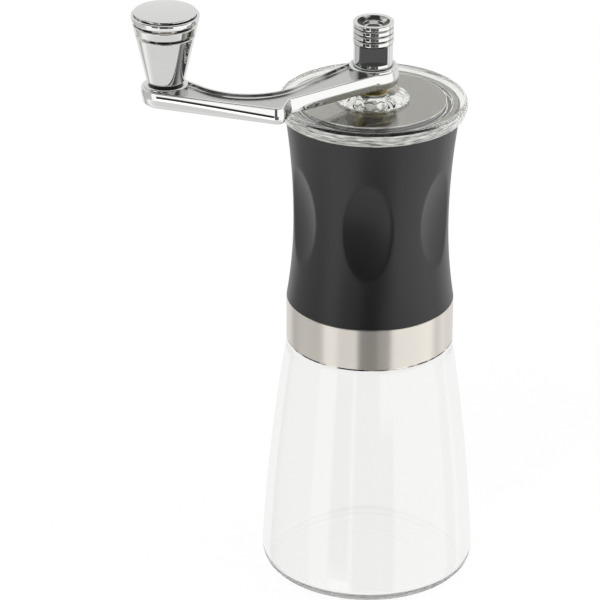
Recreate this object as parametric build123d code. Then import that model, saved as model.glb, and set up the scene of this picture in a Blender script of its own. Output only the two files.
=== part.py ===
from build123d import *
import math
import os

# Hand crank coffee mill: a glass jar, a black grip with the burr set inside, a clear lid and a crank.
# Millimetres, +Z up, origin at the centre of the jar's underside.
# The crank arm points along -X at rest.

# Fits
running_clearance = 0.05
seat_clearance = 0.1
cut_over = 1.0

# Jar
jar_base_radius = 41.0
jar_widest_height = 9.0
jar_shoulder_height = 96.0
jar_wall_bulge = 1.15
jar_wall = 3.2
jar_floor = 6.0
jar_base_round = 6.0
jar_inner_round = 9.0
jar_neck_radius = 28.4
jar_neck_wall = 3.0
jar_neck_height = 14.5
jar_lip_round = 1.0
jar_shoulder_drop = 6.0

# Seal on the jar's lip
seal_thickness = 1.4
seal_width = 2.6
seal_inset = 0.5

# Steel band round the foot of the grip
band_thickness = 0.6
band_height = 17.2
band_edge_round = 0.2
band_overhang = 0.2
shoulder_gap = 0.6

# Grip
thread_room = 1.0
skirt_wall = 1.95
skirt_recess = 0.6
grip_height = 76.3
grip_waist_height = 31.6
grip_waist_wall = 4.1
grip_rim_wall = 2.9
flange_ledge_width = 2.4
funnel_ledge_width = 1.6
funnel_ledge_height = 25.0
bridge_ledge_width = 2.0
bridge_ledge_height = 54.0
bridge_pocket_height = 10.0
mouth_step = 2.7
dent_count = 6
dent_turn = 12.0
dent_height = 37.4
dent_depth = 2.1
dent_sphere_radius = 67.0
boss_count = 3
boss_turn = 30.0
boss_inset = 2.4
boss_radius = 3.2
boss_height = 9.0
boss_hole_radius = 1.3

# Funnel above the burrs
funnel_rim_height = 2.4
funnel_wall = 1.8

# Burr housing, screwed up into the grip
flange_thickness = 3.0
flange_room = 0.6
cup_wall = 1.75
cup_lip_height = 1.6
cup_lip_width = 1.5
throat_height = 8.4
throat_step = 1.0
spoke_count = 3
spoke_turn = 48.0
spoke_width = 3.6
spoke_height = 5.0
hub_wall = 1.85
screw_shank_radius = 1.2
screw_head_radius = 2.5
screw_head_height = 1.6
screw_length = 9.5
screw_slot_width = 0.7
screw_slot_depth = 0.7

# Burrs
burr_gap = 0.4
burr_rise = 0.3
inner_burr_height = 11.4
burr_top_wall = 2.8
feed_zone_width = 4.3
fine_zone_width = 1.5
fine_zone_height = 5.0
feed_room = 2.9
outer_burr_wall = 2.6
outer_burr_height = 13.5
tooth_count = 24
tooth_depth = 0.8
tooth_width = 1.9
tooth_lean = 18.0
feed_tooth_count = 6
feed_tooth_depth = 1.3
feed_tooth_width = 4.2
feed_tooth_lean = 34.0

# Drive shaft
shaft_radius = 4.0
shaft_step = 1.0
shaft_flat_depth = 0.5
shaft_flat_count = 2
shaft_flat_turn = 90.0
square_corner_gap = 0.04
stub_step = 0.1
shaft_stub_length = 10.6
shaft_tail = 1.6

# Bearing bridge below the lid
bridge_ring_width = 2.0
bridge_ring_height = 4.0
bridge_spoke_width = 3.2
bridge_hub_height = 9.4
bridge_turn = 18.0
bush_wall = 1.5
bush_flange_width = 1.25
bush_flange_thickness = 1.0
thrust_washer_thickness = 0.8
sleeve_wall = 3.55
sleeve_gap = 1.4
sleeve_groove = 0.5

# Spring and burr adjustment
spring_wire_radius = 0.6
spring_shaft_room = 1.1
spring_pocket_room = 0.7
spring_pocket_depth = 6.6
spring_turns = 4.0
spring_turn_arcs = 4
spring_turn_points = 48
spring_top_gap = 0.3
spring_washer_thickness = 0.8
drive_plate_thickness = 1.8
drive_plate_rim = 1.9
drive_lug_count = 2
drive_lug_width = 3.0
drive_lug_length = 3.4
drive_lug_height = 2.0
drive_lug_inset = 6.2
adjust_pitch = 1.0
adjust_turns = 1.25
wheel_radius = 8.6
wheel_height = 4.2
wheel_hub_wall = 1.95
wheel_hub_height = 1.8
wheel_scallops = 16
wheel_scallop_radius = 0.8

# Lid
lid_overhang = 3.0
lid_foot_overhang = 2.0
lid_rim_crown = 0.9
lid_rim_height = 5.6
lid_plate = 2.4
lid_skirt_wall = 2.0
lid_skirt_depth = 4.2
lid_skirt_room = 1.8
lid_bush_wall = 1.35
lid_bush_head_width = 0.6
lid_bush_head_height = 1.6
lid_bush_lip = 0.4
dome_top_width = 1.4
dome_side_width = 6.6
dome_height = 2.9
dome_bulge = 0.9

# Crank arm
crank_gap = 2.8
crank_throw = 79.2
arm_thickness = 6.4
arm_top_round = 0.4
arm_bottom_round = 1.0
arm_rim_width = 1.1
arm_recess_depth = 1.4
elbow_inner_reach = 41.5
elbow_inner_drop = 23.8
elbow_nose_reach = 36.2
elbow_nose_drop = 33.3
elbow_back_reach = 26.4
elbow_back_drop = 25.6
elbow_inner_round = 1.3
elbow_nose_round = 3.4
elbow_back_round = 23.5
collar_room = 0.5
collar_wall = 1.1
collar_height = 1.0
hub_border = 0.6
hub_edge_inset = 1.2
knob_boss_border = 1.2
knob_end_border = 0.8

# Nut on top of the crank
nut_radius = 7.4
nut_height = 18.1
nut_foot_height = 2.5
nut_flat_count = 2
nut_flat_height = 7.1
nut_flat_depth = 2.3
nut_flat_turn = -103.0
nut_ring_count = 4
nut_ring_width = 0.3
nut_ring_round = 0.6
nut_groove_depth = 0.4
nut_groove_width = 0.4
nut_dish_radius = 6.6
nut_dish_depth = 1.4
nut_recess_radius = 3.7
nut_recess_depth = 2.6

# Knob
axle_radius = 3.0
axle_head_width = 2.2
axle_head_height = 2.6
axle_head_depth = 5.0
axle_stub_step = 0.8
axle_rivet_width = 1.4
axle_rivet_height = 0.8
knob_foot_wall = 4.0
knob_foot_round = 1.0
knob_taper_width = 5.7
knob_height = 26.4
knob_rim_height = 1.0
knob_rim_round = 0.9
knob_groove_heights = (19.1, 23.5)
knob_groove_depth = 0.7
knob_groove_width = 0.9
cap_inset = 1.0
cap_edge = 1.0
cap_dome = 0.9
cap_spigot_inset = 3.7
cap_spigot_depth = 2.0
knob_washer_inset = 0.6
knob_washer_thickness = 0.7

# Radii that follow from the sizes above, from the jar's neck outwards and inwards
thread_bore = jar_neck_radius + thread_room
skirt_radius = thread_bore + skirt_wall
band_inner_radius = skirt_radius + running_clearance
band_radius = band_inner_radius + band_thickness
jar_shoulder_radius = band_radius - band_overhang
flange_radius = thread_bore - flange_room
lower_bore_radius = thread_bore - flange_ledge_width
boss_circle_radius = lower_bore_radius - boss_inset
hopper_radius = lower_bore_radius - funnel_ledge_width
grip_waist_radius = hopper_radius + grip_waist_wall
bridge_pocket_radius = hopper_radius + bridge_ledge_width
mouth_radius = bridge_pocket_radius + mouth_step
lid_skirt_radius = mouth_radius - seat_clearance
grip_top_radius = mouth_radius + grip_rim_wall
lid_foot_radius = grip_top_radius + lid_foot_overhang
lid_radius = grip_top_radius + lid_overhang
lid_crown_radius = lid_radius - lid_rim_crown

# Radii that follow from the shaft outwards
shaft_bore = shaft_radius + running_clearance
adjust_thread_radius = shaft_radius - shaft_step
adjust_bore = adjust_thread_radius + running_clearance
shaft_flat = adjust_thread_radius - shaft_flat_depth
shaft_square = math.sqrt(2) * (shaft_radius - square_corner_gap)
shaft_thread_radius = shaft_square / 2 - stub_step
bush_radius = shaft_bore + bush_wall
bush_seat = bush_radius + running_clearance
bush_flange_radius = bush_radius + bush_flange_width
hub_radius = bush_radius + hub_wall
sleeve_radius = shaft_bore + sleeve_wall
spring_radius = shaft_radius + spring_shaft_room + spring_wire_radius
spring_pocket_radius = spring_radius + spring_wire_radius + spring_pocket_room
inner_burr_top_radius = spring_pocket_radius + burr_top_wall
fine_zone_radius = inner_burr_top_radius + feed_zone_width
inner_burr_radius = fine_zone_radius + fine_zone_width
outer_burr_neck_radius = fine_zone_radius + burr_gap
outer_burr_mouth_radius = outer_burr_neck_radius + feed_room
outer_burr_radius = outer_burr_mouth_radius + outer_burr_wall
outer_burr_seat = outer_burr_radius + running_clearance
cup_radius = outer_burr_seat + cup_wall
cup_lip_radius = outer_burr_radius - cup_lip_width
throat_radius = outer_burr_mouth_radius + throat_step
throat_outer_radius = throat_radius + funnel_wall
drive_plate_radius = drive_lug_inset + drive_lug_length + drive_plate_rim
wheel_hub_radius = adjust_bore + wheel_hub_wall
lid_bush_shank_radius = shaft_bore + lid_bush_wall
lid_bush_radius = lid_bush_shank_radius + lid_bush_head_width
dome_top_radius = lid_bush_radius + dome_top_width
dome_radius = dome_top_radius + dome_side_width
nut_flat = nut_radius - nut_flat_depth
nut_ring_radius = nut_radius + nut_ring_width
collar_recess_radius = nut_radius + collar_room
collar_radius = collar_recess_radius + collar_wall
crank_hub_radius = collar_radius + hub_border

# Radii that follow from the knob's axle outwards
axle_bore = axle_radius + running_clearance
axle_head_radius = axle_radius + axle_head_width
axle_stub_radius = axle_radius - axle_stub_step
axle_rivet_radius = axle_stub_radius + axle_rivet_width
knob_foot_radius = axle_radius + knob_foot_wall
knob_rim_radius = knob_foot_radius + knob_taper_width
cap_radius = knob_rim_radius - cap_inset
cap_spigot_radius = cap_radius - cap_spigot_inset
knob_washer_radius = knob_foot_radius - knob_washer_inset
knob_boss_radius = knob_foot_radius + knob_boss_border
knob_end_radius = knob_boss_radius + knob_end_border

# Heights that follow from the sizes above
lip_z = jar_shoulder_height + jar_neck_height
flange_z = lip_z + seal_thickness
ledge_z = flange_z + flange_thickness
band_z = jar_shoulder_height + shoulder_gap
grip_z = band_z + band_height
grip_top_z = grip_z + grip_height
waist_z = grip_z + grip_waist_height
skirt_z = band_z + skirt_recess
funnel_ledge_z = grip_z + funnel_ledge_height
funnel_rim_z = funnel_ledge_z - funnel_rim_height
bridge_z = grip_z + bridge_ledge_height
bridge_top_z = bridge_z + bridge_hub_height
pocket_top_z = bridge_z + bridge_pocket_height
mouth_z = grip_top_z - lid_skirt_depth - lid_skirt_room
throat_z = ledge_z + throat_height
outer_burr_z = flange_z - outer_burr_height
cup_z = outer_burr_z - cup_lip_height
inner_burr_z = outer_burr_z + burr_rise
inner_burr_top_z = inner_burr_z + inner_burr_height
fine_z = inner_burr_z + fine_zone_height
spring_seat_z = inner_burr_top_z - spring_pocket_depth
lower_bush_z = ledge_z - bush_flange_thickness
drive_plate_z = inner_burr_z - drive_plate_thickness
wheel_shoulder_z = drive_plate_z - wheel_hub_height
wheel_z = wheel_shoulder_z - wheel_height
shaft_z = wheel_z - adjust_pitch * adjust_turns - shaft_tail
shaft_step_z = inner_burr_z + seat_clearance
screw_head_z = flange_z + screw_head_height
screw_top_z = screw_head_z + screw_length
bush_top_z = bridge_top_z + bush_flange_thickness
sleeve_z = bush_top_z + thrust_washer_thickness
lid_z = grip_top_z + seat_clearance
lid_top_z = lid_z + lid_rim_height
lid_under_z = lid_top_z - lid_plate
lid_skirt_z = lid_z - lid_skirt_depth
sleeve_top_z = lid_under_z - sleeve_gap
dome_top_z = lid_top_z + dome_height
lid_bush_top_z = dome_top_z + lid_bush_lip
lid_bush_seat_z = lid_bush_top_z - lid_bush_head_height
arm_z = lid_bush_top_z + crank_gap
arm_top_z = arm_z + arm_thickness
nut_z = arm_top_z + seat_clearance
nut_top_z = nut_z + nut_height
shaft_top_z = arm_top_z + shaft_stub_length
washer_z = arm_top_z + collar_height
knob_z = washer_z + knob_washer_thickness + seat_clearance
knob_top_z = knob_z + knob_height
cap_spigot_z = knob_top_z - cap_spigot_depth
head_seat_z = cap_spigot_z - axle_head_depth
hub_centre = (0.0, 0.0)
knob_centre = (-crank_throw, 0.0)
elbow_inner = (elbow_inner_reach - crank_throw, -elbow_inner_drop)
elbow_nose = (elbow_nose_reach - crank_throw, -elbow_nose_drop)
elbow_back = (elbow_back_reach - crank_throw, -elbow_back_drop)


def turned(*edges):
    """Turn a closed outline of (radius, height) edges once round the Z axis."""
    return revolve(Plane.XZ * make_face(edges), axis=Axis.Z)


def turned_outline(*points):
    """Turn a closed polygon of (radius, height) points once round the Z axis."""
    return turned(Polyline(*points, close=True))


def ring(outer, inner, low, high):
    """A plain ring between two heights."""
    return turned_outline((inner, low), (outer, low), (outer, high), (inner, high))


def rod(radius, low, high, centre=(0.0, 0.0)):
    """A plain round bar between two heights."""
    bar = Cylinder(radius, high - low, align=(Align.CENTER, Align.CENTER, Align.MIN))
    return Pos(centre[0], centre[1], low) * bar


def around(count, turn, radius, solid):
    """Copies of a solid, evenly spaced on a circle about the Z axis."""
    step = 360.0 / count
    return [Rot(0, 0, turn + k * step) * Pos(radius, 0, 0) * solid for k in range(count)]


def tangent_point(point, centre, radius, side):
    """Where the line from a point touches a circle; side is 1 for the left of the way to the circle."""
    dx = centre[0] - point[0]
    dy = centre[1] - point[1]
    away = math.hypot(dx, dy)
    bearing = math.atan2(dy, dx) + side * math.asin(radius / away)
    reach = math.sqrt(away * away - radius * radius)
    return (point[0] + reach * math.cos(bearing), point[1] + reach * math.sin(bearing))


def jar():
    """Glass jar: a gently bulging flared wall, a thick floor and a plain neck."""
    wall_start = (jar_base_radius, jar_widest_height)
    wall_end = (jar_shoulder_radius, jar_shoulder_height)
    outside = turned(
        Line((0, 0), (jar_base_radius, 0)),
        Line((jar_base_radius, 0), wall_start),
        SagittaArc(wall_start, wall_end, -jar_wall_bulge),
        Line(wall_end, (jar_neck_radius, jar_shoulder_height)),
        Line((jar_neck_radius, jar_shoulder_height), (jar_neck_radius, lip_z)),
        Line((jar_neck_radius, lip_z), (0, lip_z)),
        Line((0, lip_z), (0, 0)),
    )
    outside = fillet(outside.edges().filter_by(GeomType.CIRCLE).sort_by(Axis.Z)[0], jar_base_round)
    outside = fillet(outside.edges().filter_by(GeomType.CIRCLE).sort_by(Axis.Z)[-1], jar_lip_round)
    mouth = jar_neck_radius - jar_neck_wall
    inner_radius = jar_base_radius - jar_wall
    inner_start = (inner_radius, jar_floor + jar_inner_round)
    inner_end = (jar_shoulder_radius - jar_wall, jar_shoulder_height - jar_shoulder_drop)
    cavity = turned(
        Line((0, jar_floor), (inner_radius - jar_inner_round, jar_floor)),
        RadiusArc((inner_radius - jar_inner_round, jar_floor), inner_start, -jar_inner_round),
        SagittaArc(inner_start, inner_end, -jar_wall_bulge),
        Line(inner_end, (mouth, jar_shoulder_height)),
        Line((mouth, jar_shoulder_height), (mouth, lip_z)),
        Line((mouth, lip_z), (0, lip_z)),
        Line((0, lip_z), (0, jar_floor)),
    )
    return outside - cavity


def jar_seal():
    """Flat silicone ring between the jar's lip and the burr housing."""
    outer = jar_neck_radius - seal_inset
    return ring(outer, outer - seal_width, lip_z, flange_z)


def steel_band():
    """Thin steel band round the foot of the grip, with its outer edges eased."""
    band = ring(band_radius, band_inner_radius, band_z, grip_z)
    rims = band.edges().filter_by(GeomType.CIRCLE).group_by(SortBy.RADIUS)[-1]
    return fillet(rims, band_edge_round)


def grip_body():
    """Waisted black grip with finger dents, screw bosses and a threaded skirt inside the band."""
    foot = (band_radius, grip_z)
    waist = (grip_waist_radius, waist_z)
    crown = (grip_top_radius, grip_top_z)
    shell = turned(
        Line((thread_bore, skirt_z), (skirt_radius, skirt_z)),
        Line((skirt_radius, skirt_z), (skirt_radius, grip_z)),
        Line((skirt_radius, grip_z), foot),
        TangentArc(waist, foot, tangent=(0, -1)),
        TangentArc(waist, crown, tangent=(0, 1)),
        Line(crown, (mouth_radius, grip_top_z)),
        Line((mouth_radius, grip_top_z), (mouth_radius, mouth_z)),
        Line((mouth_radius, mouth_z), (bridge_pocket_radius, pocket_top_z)),
        Line((bridge_pocket_radius, pocket_top_z), (bridge_pocket_radius, bridge_z)),
        Line((bridge_pocket_radius, bridge_z), (hopper_radius, bridge_z)),
        Line((hopper_radius, bridge_z), (hopper_radius, funnel_ledge_z)),
        Line((hopper_radius, funnel_ledge_z), (lower_bore_radius, funnel_ledge_z)),
        Line((lower_bore_radius, funnel_ledge_z), (lower_bore_radius, ledge_z)),
        Line((lower_bore_radius, ledge_z), (thread_bore, ledge_z)),
        Line((thread_bore, ledge_z), (thread_bore, skirt_z)),
    )
    dent_reach = grip_waist_radius - dent_depth + dent_sphere_radius
    dent = Pos(0, 0, grip_z + dent_height) * Sphere(dent_sphere_radius)
    boss = rod(boss_radius, ledge_z, ledge_z + boss_height)
    hole = rod(boss_hole_radius, ledge_z, screw_top_z + seat_clearance)
    dents = around(dent_count, dent_turn, dent_reach, dent)
    bosses = around(boss_count, boss_turn, boss_circle_radius, boss)
    holes = around(boss_count, boss_turn, boss_circle_radius, hole)
    return shell - dents + bosses - holes


def hopper_funnel():
    """Funnel that leads beans from the grip's bore to the burrs, clamped above the housing."""
    rim = lower_bore_radius - seat_clearance
    return turned_outline(
        (hopper_radius, funnel_ledge_z),
        (rim, funnel_ledge_z),
        (rim, funnel_rim_z),
        (hopper_radius, funnel_rim_z),
        (throat_outer_radius, throat_z),
        (throat_radius, throat_z),
    )


def bearing_bridge():
    """Three-spoked bridge across the hopper that carries the upper bush."""
    outer = bridge_pocket_radius - seat_clearance
    rim = ring(outer, outer - bridge_ring_width, bridge_z, bridge_z + bridge_ring_height)
    hub = rod(hub_radius, bridge_z, bridge_top_z)
    reach = outer - bridge_ring_width / 2
    foot = (Align.MIN, Align.CENTER, Align.MIN)
    spoke = Pos(0, 0, bridge_z) * Box(reach, bridge_spoke_width, bridge_ring_height, align=foot)
    spokes = around(spoke_count, bridge_turn, 0, spoke)
    bore = rod(bush_seat, bridge_z, bridge_top_z)
    return rim + hub + spokes - bore


def flanged_bush(low, high, flange_low):
    """Plain bearing bush with a flange under or over its shank."""
    shank = ring(bush_radius, shaft_bore, low, high)
    return shank + ring(bush_flange_radius, shaft_bore, flange_low, flange_low + bush_flange_thickness)


def burr_housing():
    """Flanged cup that holds the outer burr, with a spoked hub for the lower bush."""
    shell = turned_outline(
        (cup_lip_radius, cup_z),
        (cup_radius, cup_z),
        (cup_radius, flange_z),
        (flange_radius, flange_z),
        (flange_radius, ledge_z),
        (throat_outer_radius, ledge_z),
        (throat_outer_radius, throat_z),
        (throat_radius, throat_z),
        (throat_radius, flange_z),
        (outer_burr_seat, flange_z),
        (outer_burr_seat, outer_burr_z),
        (cup_lip_radius, outer_burr_z),
    )
    reach = throat_radius + funnel_wall / 2
    foot = (Align.MIN, Align.CENTER, Align.MAX)
    spoke = Pos(0, 0, throat_z) * Box(reach, spoke_width, spoke_height, align=foot)
    spokes = around(spoke_count, spoke_turn, 0, spoke)
    hub = rod(hub_radius, ledge_z, throat_z)
    bore = rod(bush_seat, ledge_z, throat_z)
    sink = rod(screw_head_radius + seat_clearance, flange_z, screw_head_z)
    hole = rod(boss_hole_radius, flange_z, ledge_z)
    sinks = around(boss_count, boss_turn, boss_circle_radius, sink)
    holes = around(boss_count, boss_turn, boss_circle_radius, hole)
    return shell + spokes + hub - bore - sinks - holes


def housing_screws():
    """Three small slotted screws that hold the burr housing in the grip."""
    head = rod(screw_head_radius, flange_z, screw_head_z)
    shank = rod(screw_shank_radius, screw_head_z, screw_top_z)
    foot = (Align.CENTER, Align.CENTER, Align.MIN)
    slot = Pos(0, 0, flange_z) * Box(2 * screw_head_radius, screw_slot_width, screw_slot_depth, align=foot)
    return Compound(children=around(boss_count, boss_turn, boss_circle_radius, head + shank - slot))


def groove(radius, height, width, depth, length, slope, lean, inward):
    """Three-sided cutter for one burr tooth, laid along a cone's slope and leaning round the axis."""
    over = depth
    half = width * (depth + over) / depth / 2
    section = Polyline((inward * over, -half), (inward * over, half), (-inward * depth, 0), close=True)
    wedge = extrude(make_face(section), length / 2, both=True)
    return Pos(radius, 0, height) * Rot(0, -slope, 0) * Rot(lean, 0, 0) * wedge


def outer_burr():
    """Ceramic ring burr with slanting teeth on its inner cone."""
    low_radius = inner_burr_radius + burr_gap + burr_rise * fine_zone_width / fine_zone_height
    blank = turned_outline(
        (low_radius, outer_burr_z),
        (outer_burr_radius, outer_burr_z),
        (outer_burr_radius, flange_z),
        (outer_burr_mouth_radius, flange_z),
        (outer_burr_neck_radius, fine_z),
    )
    slope = math.degrees(math.atan2(feed_room, flange_z - fine_z))
    mid_radius = outer_burr_neck_radius + feed_room / 2
    mid_z = (flange_z + fine_z) / 2
    length = 2 * outer_burr_height
    cutter = groove(mid_radius, mid_z, tooth_width, tooth_depth, length, -slope, tooth_lean, -1)
    return blank - around(tooth_count, 0, 0, cutter)


def inner_burr():
    """Ceramic cone burr: slanting feed grooves above, a fine zone below and a pocket for the spring."""
    blank = turned_outline(
        (shaft_bore, inner_burr_z),
        (inner_burr_radius, inner_burr_z),
        (fine_zone_radius, fine_z),
        (inner_burr_top_radius, inner_burr_top_z),
        (spring_pocket_radius, inner_burr_top_z),
        (spring_pocket_radius, spring_seat_z),
        (shaft_bore, spring_seat_z),
    )
    fine_slope = math.degrees(math.atan2(fine_zone_width, fine_zone_height))
    fine_radius = fine_zone_radius + fine_zone_width / 2
    fine_mid_z = inner_burr_z + fine_zone_height / 2
    fine_length = 2 * fine_zone_height
    fine = groove(fine_radius, fine_mid_z, tooth_width, tooth_depth, fine_length, fine_slope, -tooth_lean, 1)
    feed_rise = inner_burr_top_z - fine_z
    feed_slope = math.degrees(math.atan2(feed_zone_width, feed_rise))
    feed_radius = inner_burr_top_radius + feed_zone_width / 2
    feed_mid_z = fine_z + feed_rise / 2
    feed_length = 2 * feed_rise
    feed = groove(
        feed_radius,
        feed_mid_z,
        feed_tooth_width,
        feed_tooth_depth,
        feed_length,
        feed_slope,
        -feed_tooth_lean,
        1,
    )
    foot = (Align.MIN, Align.CENTER, Align.MIN)
    key_length = drive_lug_length + 2 * seat_clearance
    key_width = drive_lug_width + 2 * seat_clearance
    key_height = drive_lug_height + seat_clearance
    key = Pos(0, 0, inner_burr_z) * Box(key_length, key_width, key_height, align=foot)
    keys = around(drive_lug_count, 0, drive_lug_inset - seat_clearance, key)
    return blank - around(tooth_count, 0, 0, fine) - around(feed_tooth_count, 0, 0, feed) - keys


def spring_washer():
    """Washer under the spring, at the bottom of the inner burr's pocket."""
    outer = spring_pocket_radius - seat_clearance
    return ring(outer, shaft_bore, spring_seat_z, spring_seat_z + spring_washer_thickness)


def burr_spring():
    """Compression spring on the shaft: one round wire on a helix, joined from tangent arcs."""
    low = spring_seat_z + spring_washer_thickness + spring_wire_radius + seat_clearance
    high = lower_bush_z - spring_wire_radius - spring_top_gap
    rise = (high - low) / (2 * math.pi * spring_turns)
    stride = 2 * math.pi / spring_turn_arcs
    steps = round(spring_turn_arcs * spring_turns)

    def place(angle):
        return Vector(spring_radius * math.cos(angle), spring_radius * math.sin(angle), low + rise * angle)

    def heading(angle):
        return Vector(-spring_radius * math.sin(angle), spring_radius * math.cos(angle), rise).normalized()

    arcs = []
    for k in range(steps):
        first = k * stride
        last = first + stride
        chord = place(last) - place(first)
        both = heading(first) + heading(last)
        slack = 2 * (1 - heading(first).dot(heading(last)))
        along = chord.dot(both)
        reach = (math.sqrt(along * along + slack * chord.dot(chord)) - along) / slack
        middle = (place(first) + heading(first) * reach + place(last) - heading(last) * reach) * 0.5
        arcs.append(Edge.make_tangent_arc(place(first), heading(first), middle))
        arcs.append(Edge.make_tangent_arc(middle, middle - place(first) - heading(first) * reach, place(last)))
    wire = Wire(arcs)
    point_stride = 2 * math.pi / spring_turn_points
    places = [place(point_stride * k) for k in range(round(spring_turn_points * spring_turns) + 1)]
    half_turn = spring_turn_points // 2
    apart = [(a - b).length for i, a in enumerate(places) for b in places[i + half_turn:]]
    print("spring least gap to itself", round(min(apart) - 2 * spring_wire_radius, 2), "mm")
    section = Plane(place(0), z_dir=heading(0)) * Circle(spring_wire_radius)
    return sweep(section, path=wire)


def drive_plate():
    """Key plate under the inner burr: its flats follow the shaft, its two lugs turn the burr."""
    disc = ring(drive_plate_radius, adjust_bore, drive_plate_z, inner_burr_z)
    foot = (Align.MIN, Align.CENTER, Align.MIN)
    lug = Pos(0, 0, inner_burr_z) * Box(drive_lug_length, drive_lug_width, drive_lug_height, align=foot)
    flat = shaft_flat + running_clearance
    cheek_depth = shaft_flat_depth + seat_clearance
    cheek_width = 2 * adjust_thread_radius
    cheek = Pos(flat, 0, drive_plate_z) * Box(cheek_depth, cheek_width, drive_plate_thickness, align=foot)
    lugs = around(drive_lug_count, 0, drive_lug_inset, lug)
    return disc + lugs + around(shaft_flat_count, shaft_flat_turn, 0, cheek)


def adjust_nut():
    """Scalloped thumb wheel under the key plate that sets the grind."""
    wheel = ring(wheel_radius, adjust_bore, wheel_z, wheel_shoulder_z)
    hub = ring(wheel_hub_radius, adjust_bore, wheel_shoulder_z, drive_plate_z)
    scallop = rod(wheel_scallop_radius, wheel_z, wheel_shoulder_z)
    return wheel + hub - around(wheel_scallops, 0, wheel_radius, scallop)


def drive_shaft():
    """Shaft: flatted thread below, round journal through the bushes, square and thread on top."""
    tail = rod(adjust_thread_radius, shaft_z, shaft_step_z)
    foot = (Align.MIN, Align.CENTER, Align.MIN)
    flat_width = 2 * adjust_thread_radius
    flat_height = shaft_step_z - shaft_z
    flat = Pos(shaft_flat, 0, shaft_z) * Box(shaft_flat_depth, flat_width, flat_height, align=foot)
    journal = rod(shaft_radius, shaft_step_z, arm_z)
    upright = (Align.CENTER, Align.CENTER, Align.MIN)
    square = Pos(0, 0, arm_z) * Box(shaft_square, shaft_square, arm_thickness, align=upright)
    stub = rod(shaft_thread_radius, arm_top_z, shaft_top_z)
    return tail - around(shaft_flat_count, shaft_flat_turn, 0, flat) + journal + square + stub


def shaft_sleeve():
    """Bright turned sleeve on the shaft under the lid, standing on the thrust washer."""
    sleeve = ring(sleeve_radius, shaft_bore, sleeve_z, sleeve_top_z)
    middle = (sleeve_z + sleeve_top_z) / 2
    neck = ring(sleeve_radius + cut_over, sleeve_radius - sleeve_groove, middle, middle + sleeve_groove)
    return sleeve - neck


def lid():
    """Clear lid: thick rounded rim, plug skirt, flat plate and a low dome round the shaft hole."""
    rim_mid = (lid_radius, lid_z + lid_rim_height / 2)
    hole = lid_bush_shank_radius + running_clearance
    seat = lid_bush_radius + running_clearance
    skirt_inner = lid_skirt_radius - lid_skirt_wall
    return turned(
        Line((seat, dome_top_z), (dome_top_radius, dome_top_z)),
        SagittaArc((dome_top_radius, dome_top_z), (dome_radius, lid_top_z), dome_bulge),
        Line((dome_radius, lid_top_z), (lid_crown_radius, lid_top_z)),
        ThreePointArc((lid_crown_radius, lid_top_z), rim_mid, (lid_foot_radius, lid_z)),
        Line((lid_foot_radius, lid_z), (lid_skirt_radius, lid_z)),
        Line((lid_skirt_radius, lid_z), (lid_skirt_radius, lid_skirt_z)),
        Line((lid_skirt_radius, lid_skirt_z), (skirt_inner, lid_skirt_z)),
        Line((skirt_inner, lid_skirt_z), (skirt_inner, lid_under_z)),
        Line((skirt_inner, lid_under_z), (hole, lid_under_z)),
        Line((hole, lid_under_z), (hole, lid_bush_seat_z)),
        Line((hole, lid_bush_seat_z), (seat, lid_bush_seat_z)),
        Line((seat, lid_bush_seat_z), (seat, dome_top_z)),
    )


def lid_bush():
    """Brass bush in the lid's dome that steadies the shaft."""
    shank = ring(lid_bush_shank_radius, shaft_bore, lid_under_z, lid_bush_seat_z)
    return shank + ring(lid_bush_radius, shaft_bore, lid_bush_seat_z, lid_bush_top_z)


def crank_arm():
    """Cast crank arm: dog-leg with a stepped elbow, a sunk top inside a thin rim and raised rings."""
    hub_front = tangent_point(elbow_inner, hub_centre, crank_hub_radius - hub_edge_inset, -1)
    hub_back = tangent_point(elbow_back, hub_centre, crank_hub_radius, 1)
    knob_front = tangent_point(elbow_nose, knob_centre, knob_end_radius, 1)
    knob_back = tangent_point(elbow_back, knob_centre, knob_end_radius, -1)
    front_rounds = [elbow_inner_round, elbow_nose_round]
    front = FilletPolyline(hub_front, elbow_inner, elbow_nose, knob_front, radius=front_rounds)
    back = FilletPolyline(knob_back, elbow_back, hub_back, radius=elbow_back_round)
    blade = make_face([front, Line(knob_front, knob_back), back, Line(hub_back, hub_front)])
    plan = blade + Circle(crank_hub_radius) + Pos(*knob_centre) * Circle(knob_end_radius)
    arm = extrude(Pos(0, 0, arm_z) * plan, arm_thickness)
    arm = fillet(arm.faces().sort_by(Axis.Z)[-1].outer_wire().edges(), arm_top_round)
    arm = fillet(arm.faces().sort_by(Axis.Z)[0].outer_wire().edges(), arm_bottom_round)
    floor_z = arm_top_z - arm_recess_depth
    recess = extrude(Pos(0, 0, floor_z) * offset(plan, -arm_rim_width), arm_recess_depth)
    recess -= rod(collar_radius, floor_z, arm_top_z)
    recess -= rod(knob_boss_radius, floor_z, arm_top_z, knob_centre)
    collar = ring(collar_radius, collar_recess_radius, arm_top_z, washer_z)
    boss = rod(knob_boss_radius, arm_top_z, washer_z, knob_centre)
    upright = (Align.CENTER, Align.CENTER, Align.MIN)
    side = shaft_square + 2 * running_clearance
    square = Pos(0, 0, arm_z) * Box(side, side, arm_thickness, align=upright)
    pin = rod(axle_stub_radius + running_clearance, arm_z, washer_z, knob_centre)
    return arm - recess + collar + boss - square - pin


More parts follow.
